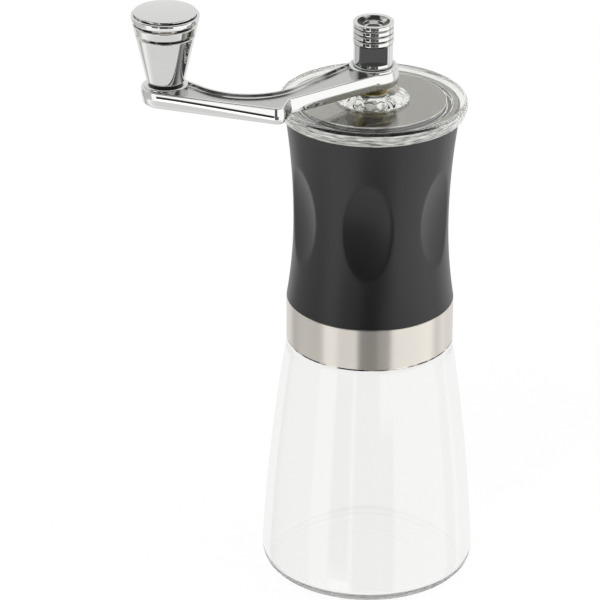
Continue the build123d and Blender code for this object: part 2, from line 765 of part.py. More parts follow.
def top_nut():
    """Round nut that holds the crank: two spanner flats, rounded rings and a dished top with a recess."""
    flats_z = nut_z + nut_foot_height
    rings_z = flats_z + nut_flat_height
    pitch = (nut_top_z - rings_z) / nut_ring_count
    bead = rod(nut_ring_radius, rings_z + nut_groove_width, rings_z + pitch)
    bead = fillet(bead.edges().filter_by(GeomType.CIRCLE), nut_ring_round)
    core = rod(nut_radius - nut_groove_depth, rings_z, nut_top_z - nut_groove_width)
    body = rod(nut_radius, nut_z, rings_z) + core
    body += [Pos(0, 0, k * pitch) * bead for k in range(nut_ring_count)]
    foot = (Align.MIN, Align.CENTER, Align.MIN)
    flat = Pos(0, 0, flats_z) * Box(nut_radius, 2 * nut_radius, nut_flat_height, align=foot)
    body -= around(nut_flat_count, nut_flat_turn, nut_flat, flat)
    dish_z = nut_top_z - nut_dish_depth
    body -= turned_outline((0, dish_z), (nut_recess_radius, dish_z), (nut_dish_radius, nut_top_z), (0, nut_top_z))
    body -= rod(nut_recess_radius, nut_top_z - nut_recess_depth, nut_top_z)
    return body - rod(shaft_thread_radius + running_clearance, nut_z, shaft_top_z + seat_clearance)


def knob():
    """Tapered knob with two ring grooves, bored for its axle and recessed for the cap."""
    x, y = knob_centre
    rim_z = knob_top_z - knob_rim_height
    body = turned_outline(
        (0, knob_z),
        (knob_foot_radius, knob_z),
        (knob_rim_radius, rim_z),
        (knob_rim_radius, knob_top_z),
        (0, knob_top_z),
    )
    body = fillet(body.edges().filter_by(GeomType.CIRCLE).sort_by(Axis.Z)[-1], knob_rim_round)
    body = fillet(body.edges().filter_by(GeomType.CIRCLE).sort_by(Axis.Z)[0], knob_foot_round)
    taper = knob_taper_width / (rim_z - knob_z)
    for height in knob_groove_heights:
        radius = knob_foot_radius + taper * height
        low = knob_z + height - knob_groove_width / 2
        body -= ring(radius + cut_over, radius - knob_groove_depth, low, low + knob_groove_width)
    body -= rod(axle_bore, knob_z, knob_top_z)
    body -= rod(axle_head_radius + seat_clearance, head_seat_z, knob_top_z)
    body -= rod(cap_spigot_radius + seat_clearance, cap_spigot_z - seat_clearance, knob_top_z)
    return Pos(x, y, 0) * body


def knob_cap():
    """Slightly domed cap on the knob, with a spigot that hides the axle's head."""
    x, y = knob_centre
    edge_z = knob_top_z + cap_edge
    disc = turned(
        Line((0, knob_top_z), (cap_radius, knob_top_z)),
        Line((cap_radius, knob_top_z), (cap_radius, edge_z)),
        TangentArc((0, edge_z + cap_dome), (cap_radius, edge_z), tangent=(1, 0)),
        Line((0, edge_z + cap_dome), (0, knob_top_z)),
    )
    return Pos(x, y, 0) * (disc + rod(cap_spigot_radius, cap_spigot_z, knob_top_z))


def knob_axle():
    """Axle riveted into the arm, with a head inside the knob."""
    head_low = head_seat_z + seat_clearance
    shank = rod(axle_radius, washer_z, head_low, knob_centre)
    head = rod(axle_head_radius, head_low, head_low + axle_head_height, knob_centre)
    stub = rod(axle_stub_radius, arm_z, washer_z, knob_centre)
    rivet = rod(axle_rivet_radius, arm_z - axle_rivet_height, arm_z, knob_centre)
    return shank + head + stub + rivet


def knob_washer():
    """Thin washer between the arm's ring and the knob."""
    x, y = knob_centre
    return Pos(x, y, 0) * ring(knob_washer_radius, axle_bore, washer_z, washer_z + knob_washer_thickness)


parts = {
    "jar": jar(),
    "jar_seal": jar_seal(),
    "steel_band": steel_band(),
    "grip_body": grip_body(),
    "hopper_funnel": hopper_funnel(),
    "bearing_bridge": bearing_bridge(),
    "upper_bush": flanged_bush(bridge_z, bush_top_z, bridge_top_z),
    "thrust_washer": ring(bush_flange_radius, shaft_bore, bush_top_z, sleeve_z),
    "burr_housing": burr_housing(),
    "lower_bush": flanged_bush(lower_bush_z, throat_z, lower_bush_z),
    "housing_screws": housing_screws(),
    "outer_burr": outer_burr(),
    "inner_burr": inner_burr(),
    "spring_washer": spring_washer(),
    "burr_spring": burr_spring(),
    "drive_plate": drive_plate(),
    "adjust_nut": adjust_nut(),
    "drive_shaft": drive_shaft(),
    "shaft_sleeve": shaft_sleeve(),
    "lid": lid(),
    "lid_bush": lid_bush(),
    "crank_arm": crank_arm(),
    "top_nut": top_nut(),
    "knob": knob(),
    "knob_cap": knob_cap(),
    "knob_axle": knob_axle(),
    "knob_washer": knob_washer(),
}
os.makedirs("parts", exist_ok=True)
for name, solid in parts.items():
    export_step(solid, f"parts/{name}.step")
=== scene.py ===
import math
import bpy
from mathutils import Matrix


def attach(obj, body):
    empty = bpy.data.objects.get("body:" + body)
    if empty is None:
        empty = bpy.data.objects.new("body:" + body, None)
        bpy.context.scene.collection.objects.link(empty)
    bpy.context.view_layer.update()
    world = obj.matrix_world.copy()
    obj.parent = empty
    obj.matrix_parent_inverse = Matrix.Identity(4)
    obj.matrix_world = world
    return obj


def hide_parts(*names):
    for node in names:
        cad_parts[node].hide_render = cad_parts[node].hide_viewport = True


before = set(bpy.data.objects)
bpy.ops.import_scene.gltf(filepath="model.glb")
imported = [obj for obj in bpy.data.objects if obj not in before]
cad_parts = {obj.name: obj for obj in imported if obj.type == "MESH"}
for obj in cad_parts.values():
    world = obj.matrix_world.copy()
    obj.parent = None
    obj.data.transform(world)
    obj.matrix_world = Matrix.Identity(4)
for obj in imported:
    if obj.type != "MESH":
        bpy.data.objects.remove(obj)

from types import SimpleNamespace

import bmesh
import bpy
import numpy as np
from mathutils import Euler, Matrix
from mathutils.geometry import tessellate_polygon

bl_info = {
    "name": "Hand crank coffee mill",
    "version": (1, 0, 0),
    "blender": (4, 5, 0),
    "location": "View3D > Sidebar > Mill",
    "description": "Dresses the packed coffee mill in turned, cast and moulded surfaces",
    "category": "Add Mesh",
}

MM = 0.001
# Radii closer than this, in millimetres, count as the same.
SAME = 0.01
# Bore of the pieces that sit on the shaft, in millimetres.
SHAFT_BORE = 4.05
# Noise lies mostly between these two values.
NOISE_LOW, NOISE_HIGH = 0.3, 0.7
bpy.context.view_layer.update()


def linear(code):
    """An sRGB hex code as linear red, green and blue with alpha 1."""
    srgb = np.array([int(code[i:i + 2], 16) for i in (1, 3, 5)]) / 255.0
    rgb = np.where(srgb <= 0.04045, srgb / 12.92, ((srgb + 0.055) / 1.055) ** 2.4)
    return (*rgb.tolist(), 1.0)


def length(name, description, size):
    """A length property whose default is given in millimetres."""
    return bpy.props.FloatProperty(
        name=name, description=description, default=size * MM, min=0.0, precision=5, unit="LENGTH"
    )


def angle(name, description, size):
    """An angle property whose default is given in degrees."""
    return bpy.props.FloatProperty(
        name=name, description=description, default=math.radians(size), subtype="ANGLE"
    )


def colour(name, description, code):
    """A colour property whose default is an sRGB hex code."""
    return bpy.props.FloatVectorProperty(
        name=name, description=description, default=linear(code), size=4, min=0.0, max=1.0, subtype="COLOR"
    )


class MillSizes(bpy.types.PropertyGroup):
    """Lengths of the visible pieces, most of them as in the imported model."""

    jar_base_radius: length("Jar base radius", "Widest radius of the glass jar", 41.0)
    jar_widest_height: length("Jar widest height", "Height where the wall starts to close in", 9.0)
    jar_shoulder_radius: length("Jar shoulder radius", "Radius where the wall meets the shoulder", 31.8)
    jar_shoulder_height: length("Jar shoulder height", "Height of the shoulder under the band", 96.0)
    jar_bulge: length("Jar bulge", "How far the wall stands off a straight cone", 1.15)
    jar_wall: length("Jar wall", "Thickness of the glass wall", 3.2)
    jar_floor: length("Jar floor", "Thickness of the glass floor", 3.3)
    jar_base_round: length("Jar base round", "Radius of the outer edge of the base", 6.0)
    jar_inner_round: length("Jar inner round", "Radius of the inner edge of the floor", 2.8)
    jar_neck_radius: length("Jar neck radius", "Outer radius of the neck", 28.4)
    jar_mouth_radius: length("Jar mouth radius", "Inner radius of the neck", 25.4)
    jar_lip_height: length("Jar lip height", "Height of the jar's lip", 110.5)
    jar_thread_pitch: length("Jar thread pitch", "Rise of the glass thread in one turn", 4.0)
    jar_thread_depth: length("Jar thread depth", "Height of the thread bead on the neck", 0.75)
    band_radius: length("Band radius", "Outer radius of the steel band", 32.0)
    band_thickness: length("Band thickness", "Sheet thickness of the steel band", 0.6)
    band_foot: length("Band foot", "Height of the band's lower edge", 96.6)
    band_top: length("Band top", "Height of the band's upper edge", 113.8)
    grip_waist_radius: length("Grip waist radius", "Narrowest radius of the grip", 29.5)
    grip_waist_height: length("Grip waist height", "Height of the waist", 145.4)
    grip_top_radius: length("Grip top radius", "Radius of the grip under the lid", 33.0)
    grip_top_height: length("Grip top height", "Height of the grip's top", 190.1)
    dent_radius: length("Dent radius", "Radius of the ball that makes a finger dent", 67.0)
    dent_depth: length("Dent depth", "Depth of a finger dent at the waist", 2.1)
    dent_height: length("Dent height", "Height of the dents' centres", 151.2)
    dent_edge: length("Dent edge", "Softness of the edge of a dent", 0.12)
    lid_radius: length("Lid radius", "Outer radius of the lid's rim", 36.0)
    lid_foot_radius: length("Lid foot radius", "Radius of the rim's lower edge", 35.0)
    lid_foot_height: length("Lid foot height", "Height of the rim's underside", 190.2)
    lid_top_height: length("Lid top height", "Height of the lid's flat top", 195.8)
    lid_skirt_radius: length("Lid skirt radius", "Outer radius of the plug skirt", 30.0)
    lid_skirt_foot: length("Lid skirt foot", "Height of the skirt's lower edge", 186.0)
    dome_radius: length("Dome radius", "Radius of the dome's foot", 14.0)
    dome_top_height: length("Dome top height", "Height of the dome's top", 198.7)
    flute_depth: length("Flute depth", "Depth of the flutes on the dome", 0.7)
    crank_throw: length("Crank throw", "Distance from the shaft to the knob's axle", 79.2)
    arm_foot_height: length("Arm foot height", "Height of the arm's underside", 201.9)
    arm_thickness: length("Arm thickness", "Thickness of the arm", 6.4)
    arm_top_round: length("Arm top round", "Radius of the arm's upper edges", 0.4)
    arm_foot_round: length("Arm foot round", "Radius of the arm's lower edges", 1.0)
    arm_rim_width: length("Arm rim width", "Width of the thin rim round the arm's sunk top", 1.1)
    arm_recess_depth: length("Arm recess depth", "Depth of the arm's sunk top", 1.4)
    nut_radius: length("Nut radius", "Radius of the top nut's foot", 7.4)
    nut_ring_radius: length("Nut ring radius", "Radius of the top nut's rings", 7.7)
    nut_flat: length("Nut flat", "Distance of the spanner flats from the axis", 5.1)
    knob_foot_radius: length("Knob foot radius", "Radius at the foot of the knob", 7.0)
    knob_rim_radius: length("Knob rim radius", "Radius at the top of the knob", 12.7)
    knob_foot_height: length("Knob foot height", "Height of the knob's underside", 210.1)
    knob_top_height: length("Knob top height", "Height of the knob's rim", 236.5)


class MillPatterns(bpy.types.PropertyGroup):
    """Counts and angles of the repeated features."""

    dents: bpy.props.IntProperty(name="Dents", description="Finger dents round the grip", default=6, min=1)
    dent_turn: angle("Dent turn", "Angle of the first dent", 12.0)
    flutes: bpy.props.IntProperty(name="Flutes", description="Flutes round the dome", default=18, min=3)
    nut_turn: angle("Nut turn", "Direction that a spanner flat faces", -103.0)


class MillColours(bpy.types.PropertyGroup):
    """Base colours of the finishes."""

    glass: colour("Glass", "Soda-lime glass of the jar", "#FEFEFD")
    clear: colour("Clear plastic", "Polished clear plastic of the lid", "#FAFAF6")
    steel: colour("Brushed steel", "Stainless steel of the band", "#DFDAD1")
    chrome: colour("Chrome", "Bright plating of the crank and knob", "#DEDFDD")
    # The groove colour is painted shade: it stands in for the shade and dark reflections in the knob's
    # grooves, under its cap, in the nut's grooves and at the band's foot.
    groove: colour("Groove", "Darkened metal in the knob's grooves and at the band's foot", "#2E2E2E")
    satin_chrome: colour("Satin chrome", "Satin plating of the arm's sunk top", "#C4C5C2")
    burnished: colour("Burnished steel", "Disc under the lid's plate and lining of the mouth", "#898680")
    black: colour("Grip plastic", "Textured black plastic of the grip", "#100F10")
    satin_black: colour("Hopper plastic", "Satin black plastic inside", "#1B1B1C")
    brass: colour("Brass", "Turned brass of the lid's bush", "#C9B878")
    ceramic: colour("Ceramic", "Fired ceramic of the burrs", "#E9E6DC")
    acetal: colour("Acetal", "White bearing plastic", "#DEDCD4")
    turned_steel: colour("Turned steel", "Shaft, washers and screws", "#BDBDBB")
    spring_steel: colour("Spring steel", "Drawn wire of the spring", "#9B9B9C")
    silicone: colour("Silicone", "Milky ring on the jar's lip", "#DDDFDC")


def millimetres(group):
    """The lengths of a property group in millimetres, by name."""
    return SimpleNamespace(**{name: getattr(group, name) / MM for name in group.__annotations__})


def add(tree, kind, inputs=(), **settings):
    """One node in a tree: its properties are set, and inputs, by name or in order, take values or outputs.

    A node given as a value stands for its first output.
    """
    made = tree.nodes.new(kind)
    for name, value in settings.items():
        setattr(made, name, value)
    for name, value in inputs.items() if isinstance(inputs, dict) else enumerate(inputs):
        if isinstance(value, bpy.types.Node):
            value = value.outputs[0]
        if isinstance(value, bpy.types.NodeSocket):
            tree.links.new(value, made.inputs[name])
        else:
            made.inputs[name].default_value = value
    return made


def finish(name, **sockets):
    """A new material with one Principled shader; socket names have _ for each space."""
    made = bpy.data.materials.new(name)
    made.use_nodes = True
    tree = made.node_tree
    tree.nodes.clear()
    values = {key.replace("_", " "): value for key, value in sockets.items()}
    shader = add(tree, "ShaderNodeBsdfPrincipled", values)
    add(tree, "ShaderNodeOutputMaterial", {"Surface": shader})
    return made, tree, shader


def grain(tree, size, stretch=(1.0, 1.0, 1.0), detail=2.0):
    """Noise of a grain size in millimetres on the piece's own coordinates, stretched along its axes."""
    place = add(tree, "ShaderNodeTexCoord").outputs["Object"]
    spread = add(tree, "ShaderNodeMapping", {"Vector": place, "Scale": stretch})
    noise = {"Vector": spread, "Scale": 1.0 / (size * MM), "Detail": detail}
    return add(tree, "ShaderNodeTexNoise", noise).outputs["Fac"]


def pattern(tree, shader, factor, shades=None, relief=None, **swings):
    """Lets one grain work on a finish.

    The base colour goes between two shades, the surface stands out by a depth in millimetres at a
    strength, and every socket named, with _ for each space, swings between two values.
    """
    for name, (low, high) in swings.items():
        swing = add(tree, "ShaderNodeMapRange", (factor, NOISE_LOW, NOISE_HIGH, low, high))
        tree.links.new(swing.outputs["Result"], shader.inputs[name.replace("_", " ")])
    if shades:
        dark, light = shades
        # A colour Mix takes its colours at 6 and 7 and gives its result at 2.
        mix = add(tree, "ShaderNodeMix", {"Factor": factor, 6: dark, 7: light}, data_type="RGBA")
        tree.links.new(mix.outputs[2], shader.inputs["Base Color"])
    if relief:
        depth, strength = relief
        bump = add(tree, "ShaderNodeBump", {"Height": factor, "Distance": depth * MM, "Strength": strength})
        tree.links.new(bump.outputs["Normal"], shader.inputs["Normal"])


def shade(base, factor):
    """A colour made darker or lighter by one factor."""
    return (base[0] * factor, base[1] * factor, base[2] * factor, 1.0)


def make_finishes(c):
    """All finishes by name, each from what the real material is."""
    made = {}

    # Pressed soda-lime glass: clear and nearly colourless, with slow pressing waves 25 mm long.
    made["glass"], tree, shader = finish(
        "pressed_soda_lime_glass", Base_Color=c.glass, Roughness=0.0, IOR=1.52, Transmission_Weight=1.0
    )
    pattern(tree, shader, grain(tree, 25.0, detail=0.0), relief=(0.04, 0.35))

    # Stippled glass of the jar's underside: a 1.2 mm stipple scatters the light that comes up through it.
    made["stippled"], tree, shader = finish(
        "stippled_glass", Base_Color=c.glass, Roughness=0.1, IOR=1.52, Transmission_Weight=1.0
    )
    pattern(tree, shader, grain(tree, 1.2), relief=(0.1, 0.4))

    # Polished clear plastic: sharp reflections, a trace of wear haze in 3 mm patches.
    made["clear"], tree, shader = finish(
        "polished_clear_acrylic", Base_Color=c.clear, Roughness=0.02, IOR=1.49, Transmission_Weight=1.0
    )
    pattern(tree, shader, grain(tree, 3.0), Roughness=(0.01, 0.04))

    # Moulded edges of the lid: fine scuffs, drawn 0.4 mm wide so that they show, and hazy streaks 6 mm
    # long that run round it, so the edges look pale.
    made["scuffed"], tree, shader = finish(
        "scuffed_clear_acrylic", Base_Color=c.clear, Roughness=0.14, IOR=1.49
    )
    pattern(tree, shader, grain(tree, 0.4), Roughness=(0.1, 0.2))
    pattern(tree, shader, grain(tree, 6.0, (1.0, 1.0, 9.0), 3.0), Transmission_Weight=(0.1, 0.9))

    # Burnished steel of the lid's disc and the mouth's lining: a warm grey mirror, hazy in 3 mm patches.
    made["burnished"], tree, shader = finish(
        "burnished_steel", Base_Color=c.burnished, Metallic=1.0, Roughness=0.1
    )
    pattern(tree, shader, grain(tree, 3.0), Roughness=(0.07, 0.14))

    # Brushed stainless steel: lines 0.1 mm apart run round the band, so highlights spread along the axis.
    made["band"], tree, shader = finish(
        "brushed_stainless_steel",
        Base_Color=c.steel,
        Metallic=1.0,
        Roughness=0.3,
        Anisotropic=0.85,
        Anisotropic_Rotation=0.25,
    )
    lines = grain(tree, 1.6, (0.03, 0.03, 16.0), 3.0)
    pattern(tree, shader, lines, shades=(shade(c.steel, 0.975), c.steel), Roughness=(0.28, 0.32))
    around = add(tree, "ShaderNodeTangent", direction_type="RADIAL", axis="Z")
    tree.links.new(around.outputs["Tangent"], shader.inputs["Tangent"])

    # Bright chrome plate on a casting: mirror reflections that wander over a 7 mm swell, and a little
    # haze in 4 mm patches.
    made["chrome"], tree, shader = finish(
        "chrome_plated_casting", Base_Color=c.chrome, Metallic=1.0, Roughness=0.03
    )
    pattern(tree, shader, grain(tree, 4.0), Roughness=(0.015, 0.04))
    pattern(tree, shader, grain(tree, 7.0, detail=0.0), relief=(0.03, 0.06))

    # Satin chrome of the arm's sunk top: the same plating over a blasted casting, with a grain that is
    # drawn 0.5 mm wide so that it shows.
    made["satin"], tree, shader = finish(
        "satin_chrome_casting", Base_Color=c.satin_chrome, Metallic=1.0, Roughness=0.2
    )
    pattern(tree, shader, grain(tree, 0.5), relief=(0.01, 0.3), Roughness=(0.16, 0.26))

    # Painted shade and painted dark reflection in grooves and along edges: a dull dark line of metal, broken
    # by brighter, smoother patches 6 mm long in the steel's colour.
    made["groove"], tree, shader = finish("painted_shade_metal", Base_Color=c.groove, Metallic=1.0, Roughness=0.3)
    shade_patches = grain(tree, 6.0)
    shade_patch_mask = add(tree, "ShaderNodeMapRange", {"Value": shade_patches, "From Min": 0.47, "From Max": 0.62})
    pattern(tree, shader, shade_patches, Roughness=(0.4, 0.15))
    pattern(tree, shader, shade_patch_mask, shades=(c.groove, c.steel))

    # Moulded black ABS with an eroded texture: a soft wide sheen, and a grain that is drawn 0.45 mm
    # wide so that it shows.
    made["grip"], tree, shader = finish("textured_black_abs", Base_Color=c.black, Roughness=0.36, IOR=1.53)
    shades = (shade(c.black, 0.82), shade(c.black, 1.15))
    pattern(tree, shader, grain(tree, 0.45, detail=3.0), shades, (0.03, 0.4), Roughness=(0.3, 0.42))

    # Satin black polypropylene of the inner mouldings: flow marks 4 mm long.
    made["hopper"], tree, shader = finish(
        "satin_black_polypropylene", Base_Color=c.satin_black, Roughness=0.42, IOR=1.49
    )
    shades = (shade(c.satin_black, 0.85), shade(c.satin_black, 1.2))
    pattern(tree, shader, grain(tree, 4.0), shades, Roughness=(0.36, 0.5))

    # Turned brass: yellow metal with tool rings along the axis, drawn 0.3 mm apart so that they show.
    made["brass"], tree, shader = finish("turned_brass", Base_Color=c.brass, Metallic=1.0, Roughness=0.2)
    rings = grain(tree, 4.0, (0.05, 0.05, 12.0))
    pattern(tree, shader, rings, (shade(c.brass, 0.88), c.brass), Roughness=(0.14, 0.3))

    # Unglazed ceramic: matte off-white with a speckle that is drawn 0.6 mm wide so that it shows.
    made["ceramic"], tree, shader = finish("fired_ceramic", Base_Color=c.ceramic, Roughness=0.55, IOR=1.55)
    shades = (shade(c.ceramic, 0.86), c.ceramic)
    pattern(tree, shader, grain(tree, 0.6, detail=3.0), shades, (0.03, 0.4))

    # White acetal bearing plastic: smooth, slightly waxy, its gloss uneven over 1.5 mm.
    made["acetal"], tree, shader = finish("white_acetal", Base_Color=c.acetal, Roughness=0.35, IOR=1.48)
    pattern(tree, shader, grain(tree, 1.5), Roughness=(0.28, 0.42))

    # Turned steel: grey with tool rings along the axis, drawn 0.35 mm apart so that they show.
    made["turned"], tree, shader = finish(
        "turned_steel", Base_Color=c.turned_steel, Metallic=1.0, Roughness=0.28
    )
    rings = grain(tree, 4.0, (0.05, 0.05, 11.0))
    pattern(tree, shader, rings, (shade(c.turned_steel, 0.85), c.turned_steel), Roughness=(0.2, 0.38))

    # Drawn spring wire: darker steel with an oil film in 2 mm patches.
    made["spring"], tree, shader = finish(
        "drawn_spring_steel", Base_Color=c.spring_steel, Metallic=1.0, Roughness=0.3
    )
    shades = (shade(c.spring_steel, 0.8), c.spring_steel)
    pattern(tree, shader, grain(tree, 2.0), shades, Roughness=(0.22, 0.42))

    # Milky silicone: soft, light passes into it a little, its gloss uneven over 1 mm.
    made["silicone"], tree, shader = finish(
        "milky_silicone", Base_Color=c.silicone, Roughness=0.5, IOR=1.41, Transmission_Weight=0.25
    )
    pattern(tree, shader, grain(tree, 1.0), Roughness=(0.42, 0.6))
    return made


# The finishes by name, filled by the first step.
FINISHES = {}

# Keeps divisions away from zero.
TINY = 1e-9
# Least turn of a corner in radians, share of a side that its two corners may take, and share of what
# is left that a flat's point may take.
LEAST_TURN, SIDE_SHARE, SLACK_SHARE = 1e-6, 0.98, 0.25


def rounded(corners, radii, steps=6, hold=0.2, closed=True):
    """Outline with round corners, worked out for all corners at once.

    At a corner the sides are left radius / tan(half the corner's angle) away from it, and an arc
    about the point reach / cos(half) along the bisector joins them. One more point on each side,
    up to hold away, keeps flat sides flat when they are shaded.
    """
    p = np.asarray(corners, dtype=float)
    r = np.broadcast_to(np.asarray(radii, dtype=float), (len(p),)).copy()
    if not closed:
        r[[0, -1]] = 0.0
    back = np.roll(p, 1, axis=0) - p
    ahead = np.roll(p, -1, axis=0) - p
    back_length = np.maximum(np.linalg.norm(back, axis=1), TINY)
    ahead_length = np.maximum(np.linalg.norm(ahead, axis=1), TINY)
    u = back / back_length[:, None]
    w = ahead / ahead_length[:, None]
    half = 0.5 * np.arccos(np.clip((u * w).sum(axis=1), -1.0, 1.0))
    wish = r / np.tan(half)
    fit_back = SIDE_SHARE * back_length / np.maximum(wish + np.roll(wish, 1), TINY)
    fit_ahead = SIDE_SHARE * ahead_length / np.maximum(wish + np.roll(wish, -1), TINY)
    reach = wish * np.minimum(1.0, np.minimum(fit_back, fit_ahead))
    middle = u + w
    middle /= np.maximum(np.linalg.norm(middle, axis=1), TINY)[:, None]
    centre = p + middle * (reach / np.maximum(np.cos(half), TINY))[:, None]
    turn = np.maximum(np.pi - 2.0 * half, LEAST_TURN)[:, None]
    t = np.linspace(0.0, 1.0, steps + 1)[None, :]
    start = (p + u * reach[:, None] - centre)[:, None, :]
    end = (p + w * reach[:, None] - centre)[:, None, :]
    share = (np.sin((1.0 - t) * turn) / np.sin(turn))[..., None]
    other = (np.sin(t * turn) / np.sin(turn))[..., None]
    arc = centre[:, None, :] + share * start + other * end
    slack_back = np.clip(SLACK_SHARE * (back_length - reach - np.roll(reach, 1)), 0.0, hold)
    slack_ahead = np.clip(SLACK_SHARE * (ahead_length - reach - np.roll(reach, -1)), 0.0, hold)
    first = (p + u * (reach + slack_back)[:, None])[:, None, :]
    last = (p + w * (reach + slack_ahead)[:, None])[:, None, :]
    rows = np.concatenate([first, arc, last], axis=1)
    if not closed:
        rows[0, :-1] = p[0]
        rows[-1, 1:] = p[-1]
    return rows.reshape(-1, 2)


def bow(start, end, rise, count):
    """Circular arc from start to end whose middle stands off the chord by rise, to the right of the way.

    An arc over a chord c has the radius c * c / (8 * rise) + rise / 2.
    """
    a = np.asarray(start, dtype=float)
    b = np.asarray(end, dtype=float)
    chord = np.linalg.norm(b - a)
    along = (b - a) / chord
    aside = np.array([along[1], -along[0]])
    radius = chord * chord / (8.0 * rise) + rise / 2.0
    limit = math.asin(chord / (2.0 * radius))
    t = np.linspace(-limit, limit, count)
    off = radius * np.cos(t) - (radius - rise)
    return (a + b) / 2.0 + np.outer(radius * np.sin(t), along) + np.outer(off, aside)


def steps_between(start, end, count):
    """Points on a straight line, ends included."""
    t = np.linspace(0.0, 1.0, count)[:, None]
    return np.asarray(start, dtype=float) * (1.0 - t) + np.asarray(end, dtype=float) * t


def turned(profile, columns, shape=None):
    """Profile of (radius, height) carried once round the Z axis.

    x = r cos a, y = r sin a, z = h, where shape(r, h, a) may change the radius with the angle.
    """
    a = np.arange(columns) * (2.0 * np.pi / columns)
    radius = np.repeat(profile[:, :1], columns, axis=1)
    height = np.repeat(profile[:, 1:2], columns, axis=1)
    if shape is not None:
        radius = shape(radius, height, a[None, :])
    return np.stack([radius * np.cos(a), radius * np.sin(a), height], axis=-1)


def row_middles(profile):
    """Middle of every step of a profile; the last step leads back to its start."""
    return 0.5 * (profile + np.roll(profile, -1, axis=0))


def net(points, close_rows=False, close_columns=True, paint=0):
    """Corners, four-sided faces and material numbers of a grid of points; closed ways join on themselves."""
    rows, columns = points.shape[:2]
    index = np.arange(rows * columns).reshape(rows, columns)
    if close_rows:
        index = np.vstack([index, index[:1]])
    if close_columns:
        index = np.hstack([index, index[:, :1]])
    faces = np.stack([index[:-1, :-1], index[:-1, 1:], index[1:, 1:], index[1:, :-1]], axis=-1)
    paints = np.broadcast_to(np.reshape(paint, (-1, 1)), faces.shape[:2])
    return points.reshape(-1, 3), faces.reshape(-1, 4), paints.reshape(-1)


def hoop(profile, columns, shape=None, paint=0):
    """Closed profile carried round the Z axis to a ring-shaped skin."""
    return net(turned(profile, columns, shape), close_rows=True, paint=paint)


def slab(outline, hole, height, paint=0):
    """Flat face between an outline and a hole of (x, y) points, cut into triangles."""
    loops = [np.column_stack([loop, np.full(len(loop), height)]) for loop in (outline, hole)]
    faces = np.array(tessellate_polygon([loop.tolist() for loop in loops]))
    return np.vstack(loops), faces, np.full(len(faces), paint)


# Points closer than the first are merged, and edges shorter than the second dissolved, in metres.
MERGE_DISTANCE, LEAST_EDGE = 2e-6, 1e-7


def piece(name, surfaces, finishes, body, slot, *nodes, sharp=35.0):
    """Joins surfaces given in millimetres into one closed object that rides on a body and replaces nodes."""
    starts = np.cumsum([0] + [len(points) for points, _, _ in surfaces])
    points = np.vstack([points for points, _, _ in surfaces]) * MM
    loops = np.concatenate([(faces + start).ravel() for (_, faces, _), start in zip(surfaces, starts)])
    counts = np.concatenate([np.full(len(faces), faces.shape[1]) for _, faces, _ in surfaces])
    paints = np.concatenate([paint for _, _, paint in surfaces])
    mesh = bpy.data.meshes.new(name)
    mesh.vertices.add(len(points))
    mesh.vertices.foreach_set("co", points.astype(np.float32).ravel())
    mesh.loops.add(len(loops))
    mesh.loops.foreach_set("vertex_index", loops.astype(np.int32))
    mesh.polygons.add(len(counts))
    mesh.polygons.foreach_set("loop_start", np.concatenate([[0], np.cumsum(counts)[:-1]]).astype(np.int32))
    mesh.polygons.foreach_set("material_index", paints.astype(np.int32))
    mesh.update(calc_edges=True)
    work = bmesh.new()
    work.from_mesh(mesh)
    bmesh.ops.remove_doubles(work, verts=work.verts, dist=MERGE_DISTANCE)
    bmesh.ops.dissolve_degenerate(work, edges=work.edges, dist=LEAST_EDGE)
    bmesh.ops.recalc_face_normals(work, faces=work.faces)
    work.to_mesh(mesh)
    work.free()
    mesh.polygons.foreach_set("use_smooth", np.ones(len(mesh.polygons), dtype=bool))
    mesh.set_sharp_from_angle(angle=math.radians(sharp))
    for finish_name in finishes:
        mesh.materials.append(FINISHES[finish_name])
    made = bpy.data.objects.new(name, mesh)
    bpy.context.scene.collection.objects.link(made)
    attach(made, body)
    if nodes:
        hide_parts(*nodes)
    return made


